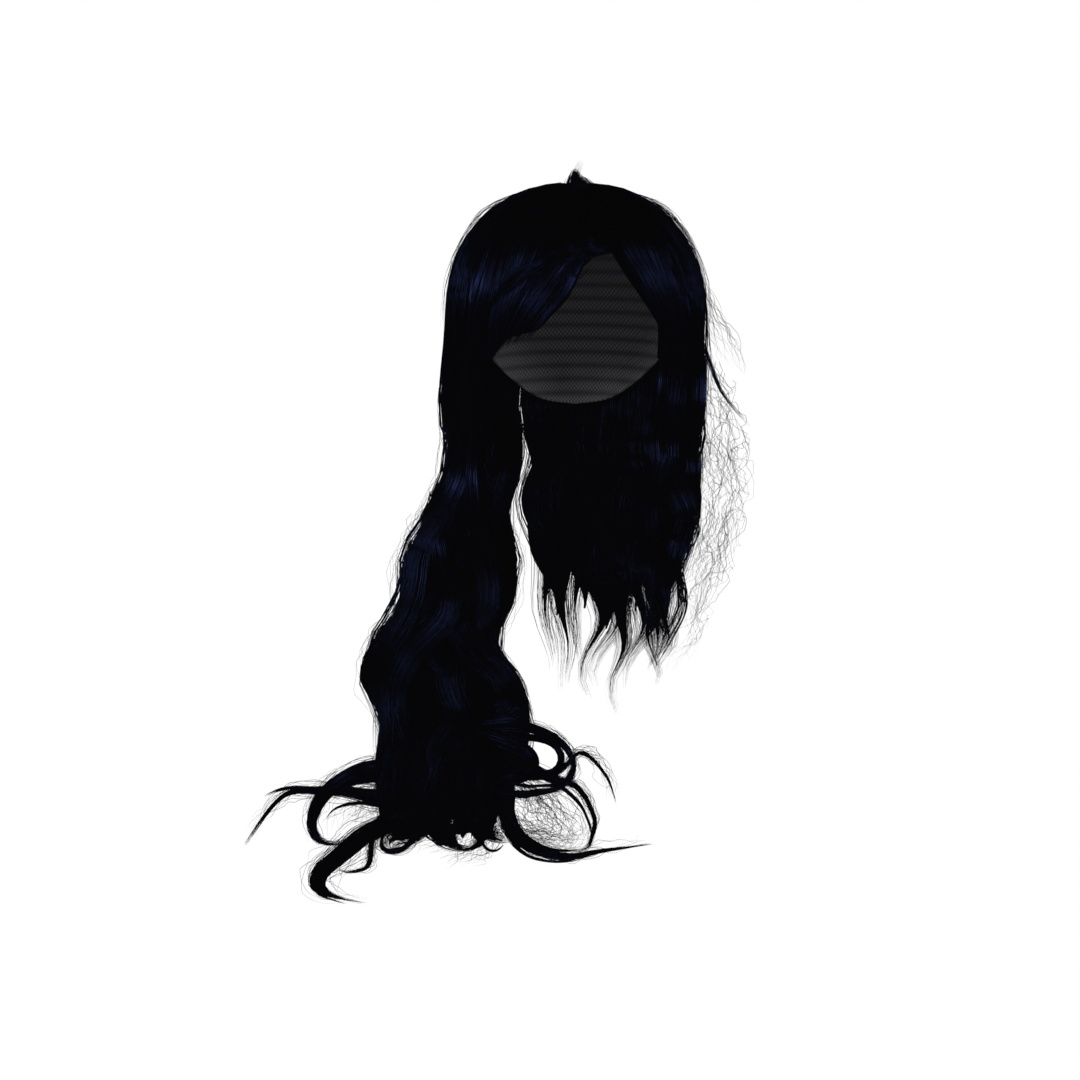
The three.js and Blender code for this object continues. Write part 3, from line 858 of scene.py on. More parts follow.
def hair_mesh(name, guides, settings):
    """The strands that the tree makes from these guides, as a plain mesh."""
    source = guide_object(name + "_guides", guides)
    modifier = source.modifiers.new("strands", "NODES")
    modifier.node_group = strand_tree
    settings = {**ALL_HAIR, **settings}
    for item in strand_tree.interface.items_tree:
        if item.in_out == "INPUT" and item.name in settings:
            modifier[item.identifier] = settings[item.name]
    source.update_tag()
    graph = bpy.context.evaluated_depsgraph_get()
    mesh = bpy.data.meshes.new_from_object(source.evaluated_get(graph))
    bpy.data.objects.remove(source)
    mesh.name = name
    for attribute in (*GUIDE_ATTRIBUTES, *TREE_ATTRIBUTES):
        if attribute in mesh.attributes:
            mesh.attributes.remove(mesh.attributes[attribute])
    return mesh


def add_hair(name, guides, settings, *nodes):
    add_piece(name, hair_mesh(name, guides, settings), "hair", *nodes)


print("helpers are ready")

# %% [markdown]
# ## Strands of the long locks
# The strands of a lock run all the way from the crown, so that no seam shows where the hair leaves the
# head. Their points are closer together on the round of the head than below it.

# %% Long strands
HEAD_POINTS = 14
HANG_POINTS = 22
LEAVES_Z = -100
LONG_HAIR = {
    "Wisps": 8, "Wisp reach": 0.95, "Root reach": 0.5, "Wisp wave": 4 * MM, "Frizz": 1.1 * MM,
    "Bends": 5.0, "Radius": 0.44 * MM, "Rim": 0.35,
}


def long_guide(path):
    leaves = share_at(path, LEAVES_Z)
    on_top = np.linspace(0, leaves, HEAD_POINTS, endpoint=False)
    return guide_at(path, np.concatenate([on_top, np.linspace(leaves, 1, HANG_POINTS)]))


def numbered(name, first, last):
    return [f"{name}_{k}" for k in range(first, last + 1)]


left_guides = [long_guide(path) for path in left_locks]
back_guides = [long_guide(path) for path in back_locks]
back_nodes = ["crown_hair", *numbered("back_lock", 4, 8)]
LONG_PIECES = {  # name: guides, strands in a wisp, reach at the tip, shortest, shine, seed, its solids
    "left_tress": (left_guides, 8, 0.4, 0.88, 0.25, 11, numbered("left_lock", 1, 5)),
    "side_hair": (back_guides[:SIDE_LOCKS], 7, 0.45, 0.82, 0.42, 21, numbered("back_lock", 1, 3)),
    "back_hair": (back_guides[SIDE_LOCKS:], 7, 0.5, 0.82, 0.42, 31, back_nodes),
}
for name, (guides, strands, tip_reach, shortest, shine, seed, nodes) in LONG_PIECES.items():
    own = {"Strands": strands, "Tip reach": tip_reach, "Shortest": shortest, "Shine": shine, "Seed": seed}
    add_hair(name, guides, {**LONG_HAIR, **own}, *nodes)

# %% [markdown]
# ## Bangs
# The bangs part to the right of the middle and sweep down to both sides. Each side is one or two sheets of
# hair: on the left a second sheet hangs straight down at the temple, beside the tip of the first. Each row
# of a table is a line that the hair follows, and guides are taken between these lines and others that lie
# among them.

# %% Table of the bangs
BANGS = {  # rows of: azimuth at the crown, azimuth and height at the end, share where it turns, step aside
    "bangs_left": [
        [
            (18.6, -19, -96, 0.40, -5),
            (8, -26, -101, 0.40, -2),
            (-6, -32, -105, 0.40, 0),
            (-20, -36, -110, 0.4, 0),
            (-32.5, -40.5, -119, 0.3, 0),
        ],
        [
            (-32.5, -46, -96, 0.8, 0),
            (-41, -51, -106, 0.75, 0),
            (-49.5, -56, -116, 0.6, 0),
        ],
    ],
    "bangs_right": [
        [
            (19.4, 43.5, -99, 0.36, 0),
            (29, 48.5, -108, 0.43, 0),
            (39, 52.5, -115, 0.48, 0),
            (49.5, 56, -118, 0.5, 0),
        ],
    ],
}
print("sheets:", {name: len(sheets) for name, sheets in BANGS.items()})

# %% Bangs
BANG_POINTS = 18
BANG_DEPTH = 2.2
BANG_OVERLAP = 0.62
BANG_STEPS = 3
BANG_LOOSE = (0.45, 1.0)  # these are shares of the way along a line
ASIDE_OUT = (0.56, 0.66)
ASIDE_BACK = (0.66, 0.86)
BANG_HAIR = {
    "Wisps": 7, "Strands": 8, "Wisp reach": 0.85, "Root reach": 0.45, "Tip reach": 0.3,
    "Wisp wave": 1.4 * MM, "Frizz": 0.25 * MM, "Bends": 2.0, "Radius": 0.40 * MM, "Shortest": 0.86,
    "Rim": 0.5, "Shine": 1.0,
}


def swept_line(start, end, end_z, sweep, aside, share):
    """Azimuth and polar angle at shares of the way along one line of the bangs."""
    turned = 2 * ease(sweep, 2 - sweep, share)
    stepped = ease(*ASIDE_OUT, share) * (1 - ease(*ASIDE_BACK, share))
    azimuth = start + (end - start) * turned + aside * stepped
    return azimuth, CROWN_POLAR + (polar_at(HAIR, end_z) - CROWN_POLAR) * share


def bang_guides(rows):
    """Guides between the lines of one sheet of the bangs, each as wide as its gap."""
    share = np.linspace(0, 1, BANG_POINTS)
    lines = [swept_line(*row, share) for row in refined(rows, BANG_STEPS)]
    places = np.array([on_head(HAIR, azimuth, polar) for azimuth, polar in lines])
    normals = np.array([head_axes(HAIR, azimuth, polar)[1] for azimuth, polar in lines])
    loose = ease(*BANG_LOOSE, share)
    guides = []
    for k in range(len(lines) - 1):
        normal = unit(normals[k] + normals[k + 1])
        middle = (places[k] + places[k + 1]) / 2 - BANG_DEPTH * normal
        across = (places[k + 1] - places[k]) * BANG_OVERLAP
        guides.append((middle * MM, across * MM, normal * BANG_DEPTH * MM, loose))
    return guides


for seed, (name, sheets) in enumerate(BANGS.items()):
    guides = [guide for rows in sheets for guide in bang_guides(rows)]
    add_hair(name + "_hair", guides, {**BANG_HAIR, "Seed": 41 + seed}, name)

# %% [markdown]
# ## Cores
# Strands alone would let the white ground show between them. Under them lies a dark core: a wall over the
# head, and a tube with soft ridges in each lock. They are plain meshes: a grid of points, with the faces
# worked out by the grid's rows and columns.

# %% Core helpers
def mesh_from(name, points, faces, uvs, finish, uv_name):
    """A smooth mesh with one finish. The uvs are one pair for each point."""
    mesh = bpy.data.meshes.new(name)
    mesh.from_pydata((np.asarray(points) * MM).tolist(), [], faces)
    mesh.materials.append(finish)
    layer = mesh.uv_layers.new(name=uv_name)
    corners = np.zeros(len(mesh.loops), int)
    mesh.loops.foreach_get("vertex_index", corners)
    layer.data.foreach_set("uv", np.asarray(uvs, np.float32)[corners].ravel())
    mesh.polygons.foreach_set("use_smooth", np.ones(len(mesh.polygons), bool))
    mesh.validate()
    mesh.update()
    return mesh


def wall_faces(columns, rows):
    """Faces of a closed wall between an outer and an inner grid, [column, row], with four edges."""
    def out(c, r):
        return c * rows + r

    def inn(c, r):
        return columns * rows + c * rows + r

    faces = []
    for c in range(columns - 1):
        for r in range(rows - 1):
            faces.append((out(c, r), out(c, r + 1), out(c + 1, r + 1), out(c + 1, r)))
            faces.append((inn(c, r), inn(c + 1, r), inn(c + 1, r + 1), inn(c, r + 1)))
        end = rows - 1
        faces.append((out(c, 0), out(c + 1, 0), inn(c + 1, 0), inn(c, 0)))
        faces.append((out(c, end), inn(c, end), inn(c + 1, end), out(c + 1, end)))
    for r in range(rows - 1):
        last = columns - 1
        faces.append((out(0, r), inn(0, r), inn(0, r + 1), out(0, r + 1)))
        faces.append((out(last, r), out(last, r + 1), inn(last, r + 1), inn(last, r)))
    return faces


print("faces of a small wall:", len(wall_faces(3, 4)))

# %% Tubes and joined meshes
def tube_faces(rings, sides):
    """Faces of a closed tube of rings, with a point at each end after the rings' points."""
    faces = []
    for k in range(rings - 1):
        for side in range(sides):
            a, b = k * sides + side, k * sides + (side + 1) % sides
            faces.append((a, b, b + sides, a + sides))
    first, last = rings * sides, rings * sides + 1
    base = (rings - 1) * sides
    for side in range(sides):
        faces.append((first, (side + 1) % sides, side))
        faces.append((last, base + side, base + (side + 1) % sides))
    return faces


def joined(parts):
    """Several lists of points, faces and uvs as one."""
    points, faces, uvs, start = [], [], [], 0
    for part_points, part_faces, part_uvs in parts:
        points.append(part_points)
        uvs.append(part_uvs)
        faces += [tuple(start + k for k in face) for face in part_faces]
        start += len(part_points)
    return np.vstack(points), faces, np.vstack(uvs)


def add_cores(name, parts):
    add_piece(name, mesh_from(name, *joined(parts), core_finish, CORE_UV), "hair")


print("core helpers are ready")

# %% Cores of the long locks
CORE_SIDES = 12
CORE_RINGS = 44
CORE_TOP_Z = -96
CORE_RIDGES = 5
RIDGE_SIZE = 0.07  # as a share of the tube's size
LOCK_CORES = (  # paths, share of the width, share of the thickness, where the cores stop, and their taper
    (left_locks, 0.8, 0.5, (0.97, 0.99), 0.1),
    (back_locks[:SIDE_LOCKS], 0.8, 0.45, (0.92, 0.97), 0.3),
    (back_locks[SIDE_LOCKS:], 0.8, 0.45, (0.90, 0.96), 0.35),
    (left_backing, 0.95, 0.3, (0.985, 0.995), 0.05),
    (back_backing, 0.9, 0.3, (0.80, 0.86), 0.25),
)


def lock_core(path, start, width, thick, phase, stop, tip):
    """A ridged tube inside a lock, between two shares of its path. Tip is the share where it narrows."""
    guide = evenly(path, CORE_RINGS, start, stop)
    middle, across, out = (column / MM for column in guide[:3])
    share = np.linspace(0, 1, CORE_RINGS)[:, None, None]
    angle = np.linspace(0, 2 * np.pi, CORE_SIDES, endpoint=False)[None, :, None]
    ridges = 1 + RIDGE_SIZE * np.cos(CORE_RIDGES * angle + phase + 2 * share)
    swell = np.minimum(1, share / 0.06 + 0.3) * (1 - 0.92 * ease(1 - tip, 1.0, share))
    ring = middle[:, None] + swell * ridges * (
        width * np.cos(angle) * across[:, None] + thick * np.sin(angle) * out[:, None]
    )
    points = np.vstack([ring.reshape(-1, 3), middle[:1], middle[-1:]])
    u, v = np.broadcast_arrays(angle / (2 * np.pi), share)
    uvs = np.vstack([np.column_stack([u.ravel(), v.ravel()]), [[0.5, 0], [0.5, 1]]])
    return points, tube_faces(CORE_RINGS, CORE_SIDES), uvs


parts = []
for paths, width, thick, stops, tip in LOCK_CORES:
    for k, path in enumerate(paths):
        top = share_at(path, CORE_TOP_Z)
        parts.append(lock_core(path, top, width, thick, 1.7 * k, dice.uniform(*stops), tip))
add_cores("lock_cores", parts)

# %% Core over the head
CORE_DEPTH = 5.0
RIM_SINK = 8.0  # how much deeper the wall lies where the long locks leave the head
SKIN_GAP = 2.6  # from the skull to the wall's inside
CORE_STEPS = 4
CROWN_ROWS = 24
CROWN_COLUMNS = 53
CROWN_SPAN = (50, 310)  # azimuths
CROWN_TOP_POLAR = 3.5
CROWN_FOOT_Z = -119
EDGE_WALL = 1.2  # thickness of the bangs' wall, where it is thin


def head_wall(lines, sink, thin):
    """A wall of hair under the strands on the head. Lines are azimuth and polar angle at shares of the way,
    and thin is the share of the depth that its inside takes up at the end."""
    outer, inner = [], []
    for azimuth, polar in lines:
        depth = CORE_DEPTH + sink * ease(*RIM_POLAR, polar)[:, None]
        _, normal = head_axes(HAIR, azimuth, polar)
        skin = on_head(HAIR, azimuth, polar) - depth * normal
        base = on_head(grown(SKULL, SKIN_GAP), azimuth, polar)
        share = np.linspace(0, 1, len(polar))[:, None] ** 3 * thin
        outer.append(skin)
        inner.append(base + (skin - EDGE_WALL * normal - base) * share)
    columns, rows = len(outer), len(outer[0])
    u = np.repeat(np.linspace(0, 1, columns), rows)
    v = np.tile(np.linspace(0, 1, rows), columns)
    uvs = np.column_stack([u, v])
    return np.vstack(outer + inner), wall_faces(columns, rows), np.vstack([uvs, uvs])


crown_polar = np.linspace(CROWN_TOP_POLAR, polar_at(HAIR, CROWN_FOOT_Z), CROWN_ROWS)
crown_azimuths = np.linspace(*CROWN_SPAN, CROWN_COLUMNS)
crown_lines = [(np.full_like(crown_polar, azimuth), crown_polar) for azimuth in crown_azimuths]
bang_share = np.linspace(0, 0.97, 20)
parts = [head_wall(crown_lines, RIM_SINK, 0.0)]
for rows in [rows for sheets in BANGS.values() for rows in sheets]:
    lines = [swept_line(*row, bang_share) for row in refined(rows, CORE_STEPS)]
    parts.append(head_wall(lines, 0.0, 0.9))
add_cores("head_core", parts)

# %% [markdown]
# ## The cap
# The cap is a thin shell from the crown to an edge that dips before and behind the ear. Its inside shows
# through the face opening. Rows of wefts run round it, and the edge is bound with a ribbon.

# %% Edge of the cap
CAP_EDGE = [  # azimuth from the forehead, height
    (0, -37), (30, -41), (58, -76), (75, -110), (94, -93), (120, -126), (150, -155), (180, -162),
]
CAP_COLUMNS = 90
CAP_ROWS = 46
CAP_WALL = 1.5
RIBBON = 9.0
WEFT_RELIEF = 1.0
RIBBON_RELIEF = 0.8
UV_PER_MM = 0.0025


def cap_edge(azimuth):
    fine = refined(CAP_EDGE, 12)
    folded = np.minimum(azimuth % 360, 360 - azimuth % 360)
    return np.interp(folded, fine[:, 0], fine[:, 1])


print("the cap's edge before the ear, in mm:", cap_edge(75))

# %% Cap
def cap_mesh():
    azimuths = np.linspace(0, 360, CAP_COLUMNS, endpoint=False)
    outer, inner, uvs = [], [], []
    for azimuth in azimuths:
        polar = np.linspace(0.6, polar_at(SKULL, cap_edge(azimuth)), CAP_ROWS)
        around = np.full_like(polar, azimuth)
        skin = on_head(SKULL, around, polar)
        _, normal = head_axes(SKULL, around, polar)
        run = measured(skin)
        to_edge = (run[-1] - run)[:, None]
        wefts = np.cos(np.pi * skin[:, 2:] / WEFT_STEP) ** 6
        wefts = wefts * ease(RIBBON, RIBBON + 3, to_edge) * ease(8, 30, run[:, None])
        ribbon = 1 - ease(RIBBON - 1, RIBBON + 0.5, to_edge)
        relief = WEFT_RELIEF * wefts + RIBBON_RELIEF * ribbon
        inner.append(skin - relief * normal)
        outer.append(skin + CAP_WALL * normal)
        uvs.append(np.column_stack([around / 360, run * UV_PER_MM]))
    columns, rows = CAP_COLUMNS, CAP_ROWS
    crown = on_head(SKULL, np.array(0.0), np.array(0.0))
    points = np.vstack([*outer, *inner, crown + [0, 0, CAP_WALL], crown])
    top_out = 2 * columns * rows
    top_in = top_out + 1
    inside = columns * rows
    end = rows - 1
    faces = []
    for c in range(columns):
        a, b = c * rows, (c + 1) % columns * rows
        for r in range(end):
            faces.append((a + r, a + r + 1, b + r + 1, b + r))
            faces.append((inside + a + r, inside + b + r, inside + b + r + 1, inside + a + r + 1))
        faces.append((a + end, inside + a + end, inside + b + end, b + end))
        faces.append((top_out, a, b))
        faces.append((top_in, inside + b, inside + a))
    pairs = np.vstack([*uvs, *uvs, [[0, 0], [0, 0]]])
    return mesh_from("cap_shell", points, faces, pairs, cap_finish, CAP_UV)


add_piece("cap_shell", cap_mesh(), "cap_net", "cap")

# %% [markdown]
# ## Curls
# Small locks use the same tree as the long ones. The curls are the ends of the tress, so each starts inside
# it, comes out of it, and lies on the surface below.

# %% Table of the curls
CURLS = {  # rows of x, y, z, half-width; the first rows are still inside the hair that the curl leaves
    "left_tail_curl": [
        (-108, -92, -394, 9), (-111, -100, -414, 9), (-121, -106, -430, 8.5), (-133, -110, -435, 7.5),
        (-151, -112, -434, 6), (-170, -112, -431, 4.5), (-185, -110, -431, 3.5), (-201, -108, -432, 2.5),
        (-211, -112, -432, 2), (-218, -122, -434, 1.7), (-226, -138, -441, 1.4), (-235, -163, -453, 0.5),
    ],
    "left_ring_curl": [
        (-112, -90, -382, 8), (-119, -96, -402, 8), (-130, -100, -415, 7), (-145, -102, -415, 6),
        (-160, -104, -417, 5), (-172, -110, -421, 4.5), (-182, -118, -426, 4), (-188, -127, -431, 3.5),
        (-190, -138, -437, 3.2), (-190, -146, -442, 3), (-187, -153, -448, 2.6), (-180, -158, -452, 2.2),
        (-170, -159, -453, 1.6), (-160, -153, -453, 0.8),
    ],
    "front_hook_curl": [
        (-99, -100, -409, 8.5), (-109, -112, -429, 9), (-124, -126, -444, 9), (-141, -138, -449, 8.5),
        (-152, -155, -449, 8.5), (-159, -177, -449, 8), (-166, -198, -449, 7.5), (-171, -215, -449, 7),
        (-171, -231, -450, 6), (-165, -242, -451, 4), (-155, -248, -452, 1.8), (-135, -255, -453, 0.5),
    ],
    "small_hook_curl": [
        (-131, -100, -440, 3), (-143, -120, -451, 2.8), (-144, -156, -452, 2), (-142, -180, -453, 1.8),
        (-142, -197, -453, 1.7), (-148, -205, -453, 1.4), (-156, -207, -453, 1.2), (-163, -201, -453, 0.6),
    ],
    "front_left_curl": [
        (-97, -130, -441, 3.5), (-108, -141, -451, 2.7), (-116, -155, -452, 2.2), (-121, -168, -452, 2),
        (-128, -173, -452, 2), (-135, -166, -453, 1.7), (-138, -149, -453, 1.4), (-134, -141, -448, 0.7),
    ],
    "front_right_curl": [
        (-70, -110, -414, 3.5), (-67, -118, -430, 3), (-64, -126, -443, 2.8), (-64, -135, -451, 2.6),
        (-66, -151, -452, 2.3), (-71, -163, -453, 1.7), (-77, -167, -453, 1.2), (-84, -167, -453, 0.5),
    ],
    "right_sweep_curl": [
        (-55, -100, -390, 5.5), (-52, -112, -409, 5), (-51, -126, -427, 5), (-50, -136, -437, 5),
        (-44, -148, -446, 4.7), (-34, -160, -451, 4.7), (-22, -173, -451, 4.3), (-9, -179, -452, 3.6),
        (3, -178, -452, 2.8), (14, -172, -452, 2.1), (25, -165, -453, 1.5), (57, -153, -453, 0.5),
    ],
    "right_ring_curl": [
        (-62, -104, -392, 3.5), (-46, -108, -402, 3.5), (-28, -112, -412, 3), (-11, -116, -419, 2.6),
        (1, -120, -422, 2.4), (9, -128, -428, 2.1), (14, -138, -435, 1.9), (16, -147, -440, 1.8),
        (14, -156, -446, 1.6), (11, -162, -452, 1.5), (2, -170, -453, 0.8),
    ],
    "upper_ring_curl": [
        (-66, -100, -383, 4.5), (-47, -104, -380, 4.2), (-32, -106, -383, 4), (-19, -108, -387, 3.5),
        (-8, -110, -394, 2.8), (-2, -114, -402, 2.4), (0, -119, -409, 2.1), (-4, -124, -417, 1.9),
        (-12, -128, -421, 1.8), (-24, -130, -423, 2.4), (-39, -130, -425, 3.2), (-53, -127, -425, 3.2),
        (-66, -120, -422, 2),
    ],
    "thin_loop_curl": [
        (-52, -108, -412, 2.1), (-32, -112, -417, 2.1), (-19, -112, -419, 1.7), (-10, -112, -414, 1.4),
        (-4, -112, -408, 1.3), (1, -114, -401, 1.2), (6, -118, -397, 1.1), (12, -124, -398, 1.1),
        (19, -132, -403, 1), (26, -142, -410, 0.9), (31, -156, -421, 0.5),
    ],
}
print("curls:", len(CURLS))

# %% Table of the thin curls
THIN_CURLS = {  # narrower ones beside them, in the same columns
    "ring_inside": [
        (-119, -100, -418, 6), (-133, -104, -422, 5.5), (-150, -106, -422, 4.5), (-165, -110, -424, 3.8),
        (-176, -117, -428, 2.8), (-183, -126, -433, 2.4), (-187, -138, -439, 2.1), (-187, -147, -444, 1.6),
        (-182, -153, -450, 1.2), (-177, -155, -453, 0.6),
    ],
    "ring_wisp": [
        (-121, -112, -434, 3.5), (-135, -116, -440, 2.8), (-146, -118, -439, 1.8), (-158, -119, -437, 1.4),
        (-169, -122, -438, 1.1), (-177, -128, -440, 0.9), (-181, -136, -444, 0.5),
    ],
    "tail_wisp": [
        (-151, -112, -434, 2.8), (-174, -111, -431, 2.4), (-195, -108, -431, 1.8), (-211, -106, -431, 1.4),
        (-221, -106, -433, 1.1), (-232, -108, -437, 0.6),
    ],
    "sweep_inside": [
        (-45, -114, -413, 2.8), (-45, -127, -427, 2.8), (-44, -138, -438, 2.5), (-38, -147, -447, 2.2),
        (-29, -153, -452, 1.9), (-18, -163, -453, 1.5), (-5, -167, -453, 1.1), (8, -165, -453, 0.5),
    ],
    "sweep_outside": [
        (-52, -128, -431, 2.1), (-50, -142, -442, 2), (-45, -154, -449, 1.8), (-38, -166, -453, 1.5),
        (-28, -180, -453, 1.2), (-14, -186, -453, 1), (-2, -184, -453, 0.8), (8, -175, -453, 0.5),
    ],
    "ring_outside": [
        (-54, -108, -406, 2.1), (-32, -113, -414, 2.1), (-15, -117, -420, 1.8), (-4, -123, -426, 1.5),
        (5, -132, -432, 1.4), (10, -142, -438, 1.2), (13, -152, -445, 1.1), (12, -156, -453, 0.5),
    ],
    "upper_ring_inside": [
        (-54, -104, -389, 4.2), (-36, -107, -389, 3.5), (-21, -109, -391, 3.1), (-12, -111, -396, 2.8),
        (-9, -115, -403, 2.7), (-12, -119, -410, 2.7), (-20, -122, -413, 3.2), (-33, -122, -414, 4.2),
        (-47, -118, -412, 4.2), (-60, -110, -408, 3),
    ],
    "upper_ring_fill": [
        (-72, -98, -390, 8), (-56, -104, -392, 8), (-42, -109, -396, 7), (-32, -113, -401, 6),
        (-30, -117, -408, 6), (-38, -120, -414, 7), (-52, -118, -417, 7), (-66, -112, -416, 5),
    ],
    "upper_ring_wisp": [
        (-6, -110, -396, 1.1), (1, -114, -404, 1.1), (-2, -119, -412, 1), (-9, -125, -419, 1),
        (-21, -129, -419, 1), (-33, -130, -419, 1), (-50, -126, -418, 1),
    ],
    "hook_wisp": [
        (-163, -163, -451, 2), (-171, -189, -452, 2), (-176, -211, -453, 1.7), (-175, -228, -453, 1.4),
        (-167, -243, -453, 1), (-158, -250, -453, 0.7), (-147, -257, -453, 0.4),
    ],
    "front_wisp_curl": [
        (-78, -110, -428, 2.7), (-76, -124, -447, 2.4), (-72, -140, -452, 2.1), (-66, -153, -453, 1.6),
        (-60, -167, -453, 1.1), (-54, -168, -453, 0.8), (-49, -157, -453, 0.5),
    ],
}
print("thin curls:", len(THIN_CURLS))

# %% Curls
PATH_STEPS = 8
CURL_THICK = 0.85
CURL_LOOSE = (-0.2, 0.9)
CURL_HAIR = {
    "Wisp reach": 0.9, "Root reach": 0.45, "Tip reach": 0.25, "Wisp wave": 0.9 * MM, "Frizz": 0.5 * MM,
    "Bends": 2.5, "Radius": 0.38 * MM, "Shortest": 0.8, "Rim": 0.2,
}


def small_lock(rows, loose):
    """A path through rows of centre, half-width and half-thickness. Its width is carried along the path.
    Loose is the two shares of the way between which it loosens."""
    fine = refined(rows, PATH_STEPS)
    middle = fine[:, :3]
    along = unit(np.gradient(middle, axis=0))
    across = np.cross(along[0], [0, 0, 1.0])
    across = unit(across if np.linalg.norm(across) > 0.2 else np.array([1.0, 0, 0]))
    widths = []
    for direction in along:
        across = unit(across - np.dot(across, direction) * direction)
        widths.append(across)
    widths = np.array(widths)
    outs = np.cross(widths, along)
    return middle, widths * fine[:, 3:4], outs * fine[:, 4:5], ease(*loose, np.linspace(0, 1, len(fine)))


def flat_locks(table, thick, loose):
    """The small locks of a table of centres and half-widths. Their thickness is a share of their width."""
    return [small_lock([(*row, thick * row[3]) for row in rows], loose) for rows in table.values()]


def guides_on(paths, count):
    return [evenly(path, count) for path in paths]


curl_paths = flat_locks(CURLS, CURL_THICK, CURL_LOOSE)
thin_paths = flat_locks(THIN_CURLS, CURL_THICK, CURL_LOOSE)
add_hair("curls", guides_on(curl_paths, 30), {**CURL_HAIR, "Wisps": 7, "Strands": 6, "Seed": 51}, *CURLS)
add_hair("thin_curls", guides_on(thin_paths, 24), {**CURL_HAIR, "Wisps": 4, "Strands": 4, "Seed": 52})
curl_cores = [lock_core(path, 0.0, 0.85, 0.85, 1.0, 0.97, 0.15) for path in curl_paths + thin_paths]
add_cores("curl_cores", curl_cores)

# %% [markdown]
# ## Loose locks over the long hair
# The waves that catch the eye are a few locks that have slipped out of line and lie over the rest: long S
# bends on the left, a fat roll at the inner edge, and falls that cross each other on the right. At the foot
# of the tress short ends spread out on the surface.

# %% Table of the loose locks
LOOSE_LOCKS = {  # rows of x, y, z, half-width
    "shoulder_wave": [
        (-84, -46, -171, 7), (-88, -62, -203, 8), (-104, -71, -233, 9), (-117, -75, -255, 11),
        (-119, -80, -272, 10), (-123, -86, -290, 11), (-133, -91, -310, 12), (-143, -94, -328, 12),
        (-141, -95, -346, 12), (-140, -97, -362, 10), (-139, -102, -375, 9), (-141, -109, -390, 9),
        (-136, -116, -406, 8),
    ],
    "front_sweep": [
        (-77, -28, -158, 8), (-84, -48, -195, 12), (-82, -53, -228, 14), (-76, -50, -248, 14),
        (-70, -47, -268, 13), (-66, -49, -287, 11), (-67, -55, -306, 10), (-73, -58, -324, 7),
    ],
    "inner_arc": [
        (-100, -48, -215, 9), (-104, -68, -246, 10), (-100, -72, -270, 10), (-93, -70, -290, 9),
        (-95, -74, -307, 10), (-106, -80, -319, 10), (-119, -87, -331, 11), (-128, -92, -348, 10),
        (-132, -97, -367, 9), (-128, -106, -384, 9), (-120, -113, -398, 8),
    ],
    "roll": [
        (-94, -50, -290, 8), (-89, -67, -318, 10), (-78, -72, -332, 11), (-65, -76, -343, 12),
        (-52, -81, -355, 12), (-46, -89, -366, 11), (-54, -93, -375, 9), (-65, -86, -378, 7),
        (-75, -76, -376, 4),
    ],
    "middle_drop": [
        (-92, -58, -315, 8), (-96, -78, -342, 10), (-94, -87, -359, 10), (-86, -95, -375, 9),
        (-82, -105, -390, 9), (-88, -115, -404, 9), (-89, -126, -417, 9), (-86, -137, -430, 8),
        (-89, -149, -440, 7), (-98, -160, -449, 4),
    ],
    "left_drop": [
        (-112, -80, -355, 9), (-115, -101, -381, 10), (-121, -113, -395, 10), (-122, -124, -410, 9),
        (-116, -135, -425, 9), (-108, -147, -438, 8), (-112, -158, -449, 5),
    ],
    "right_drop": [
        (-75, -80, -362, 9), (-66, -99, -385, 10), (-60, -110, -399, 10), (-60, -122, -414, 9),
        (-65, -134, -427, 8), (-70, -147, -440, 7), (-66, -158, -449, 4),
    ],
}
print("loose locks:", len(LOOSE_LOCKS))

# %% Tables of the falls and of the foot
RIGHT_FALLS = {  # the same on the right, where the falls cross each other
    "outer_fall": [
        (67, -70, -48, 5), (81, -57, -75, 7), (88, -47, -100, 8), (90, -44, -126, 9), (89, -48, -155, 10),
        (88, -33, -182, 9), (90, -37, -206, 8), (87, -18, -234, 9), (81, -22, -261, 10), (76, -4, -287, 11),
        (79, -8, -313, 10), (75, 8, -339, 8), (67, 8, -366, 4),
    ],
    "inner_fall": [
        (45, -96, -57, 5), (60, -89, -78, 7), (71, -74, -100, 9), (75, -60, -126, 10), (73, -61, -152, 10),
        (69, -47, -178, 9), (63, -49, -203, 9), (58, -33, -226, 9), (58, -36, -249, 9), (58, -15, -272, 9),
        (55, -18, -295, 10), (62, 0, -318, 9), (69, -1, -341, 8), (66, 12, -362, 4),
    ],
    "crossing_fall": [
        (66, -70, -90, 6), (70, -57, -118, 8), (69, -58, -146, 9), (66, -46, -172, 9), (68, -50, -197, 8),
        (78, -39, -216, 8), (86, -42, -234, 8), (85, -24, -255, 8), (79, -27, -276, 8), (75, -8, -300, 8),
        (78, -10, -323, 6),
    ],
    "edge_strand": [
        (88, -24, -190, 4), (94, -16, -222, 4), (91, -8, -252, 4), (82, -2, -280, 4), (86, 4, -304, 4),
        (86, 8, -322, 4), (75, 14, -348, 4), (62, 18, -376, 3),
    ],
}
FLOOR_LOCKS = {  # the same where the ends of the tress lie on the surface
    "floor_under": [
        (-58, -124, -447, 4), (-68, -130, -450, 6), (-84, -134, -451, 7), (-102, -134, -451, 7),
        (-116, -130, -450, 6), (-126, -124, -447, 3),
    ],
    "floor_left": [
        (-92, -122, -438, 9), (-106, -134, -447, 10), (-121, -146, -450, 9), (-131, -158, -451, 7),
        (-129, -170, -452, 4),
    ],
    "floor_middle": [
        (-104, -124, -440, 9), (-99, -140, -448, 10), (-90, -154, -451, 9), (-80, -164, -452, 7),
        (-70, -166, -452, 4),
    ],
    "floor_right": [
        (-80, -118, -436, 9), (-72, -132, -446, 9), (-63, -144, -450, 8), (-52, -152, -452, 6),
        (-45, -152, -452, 3),
    ],
}
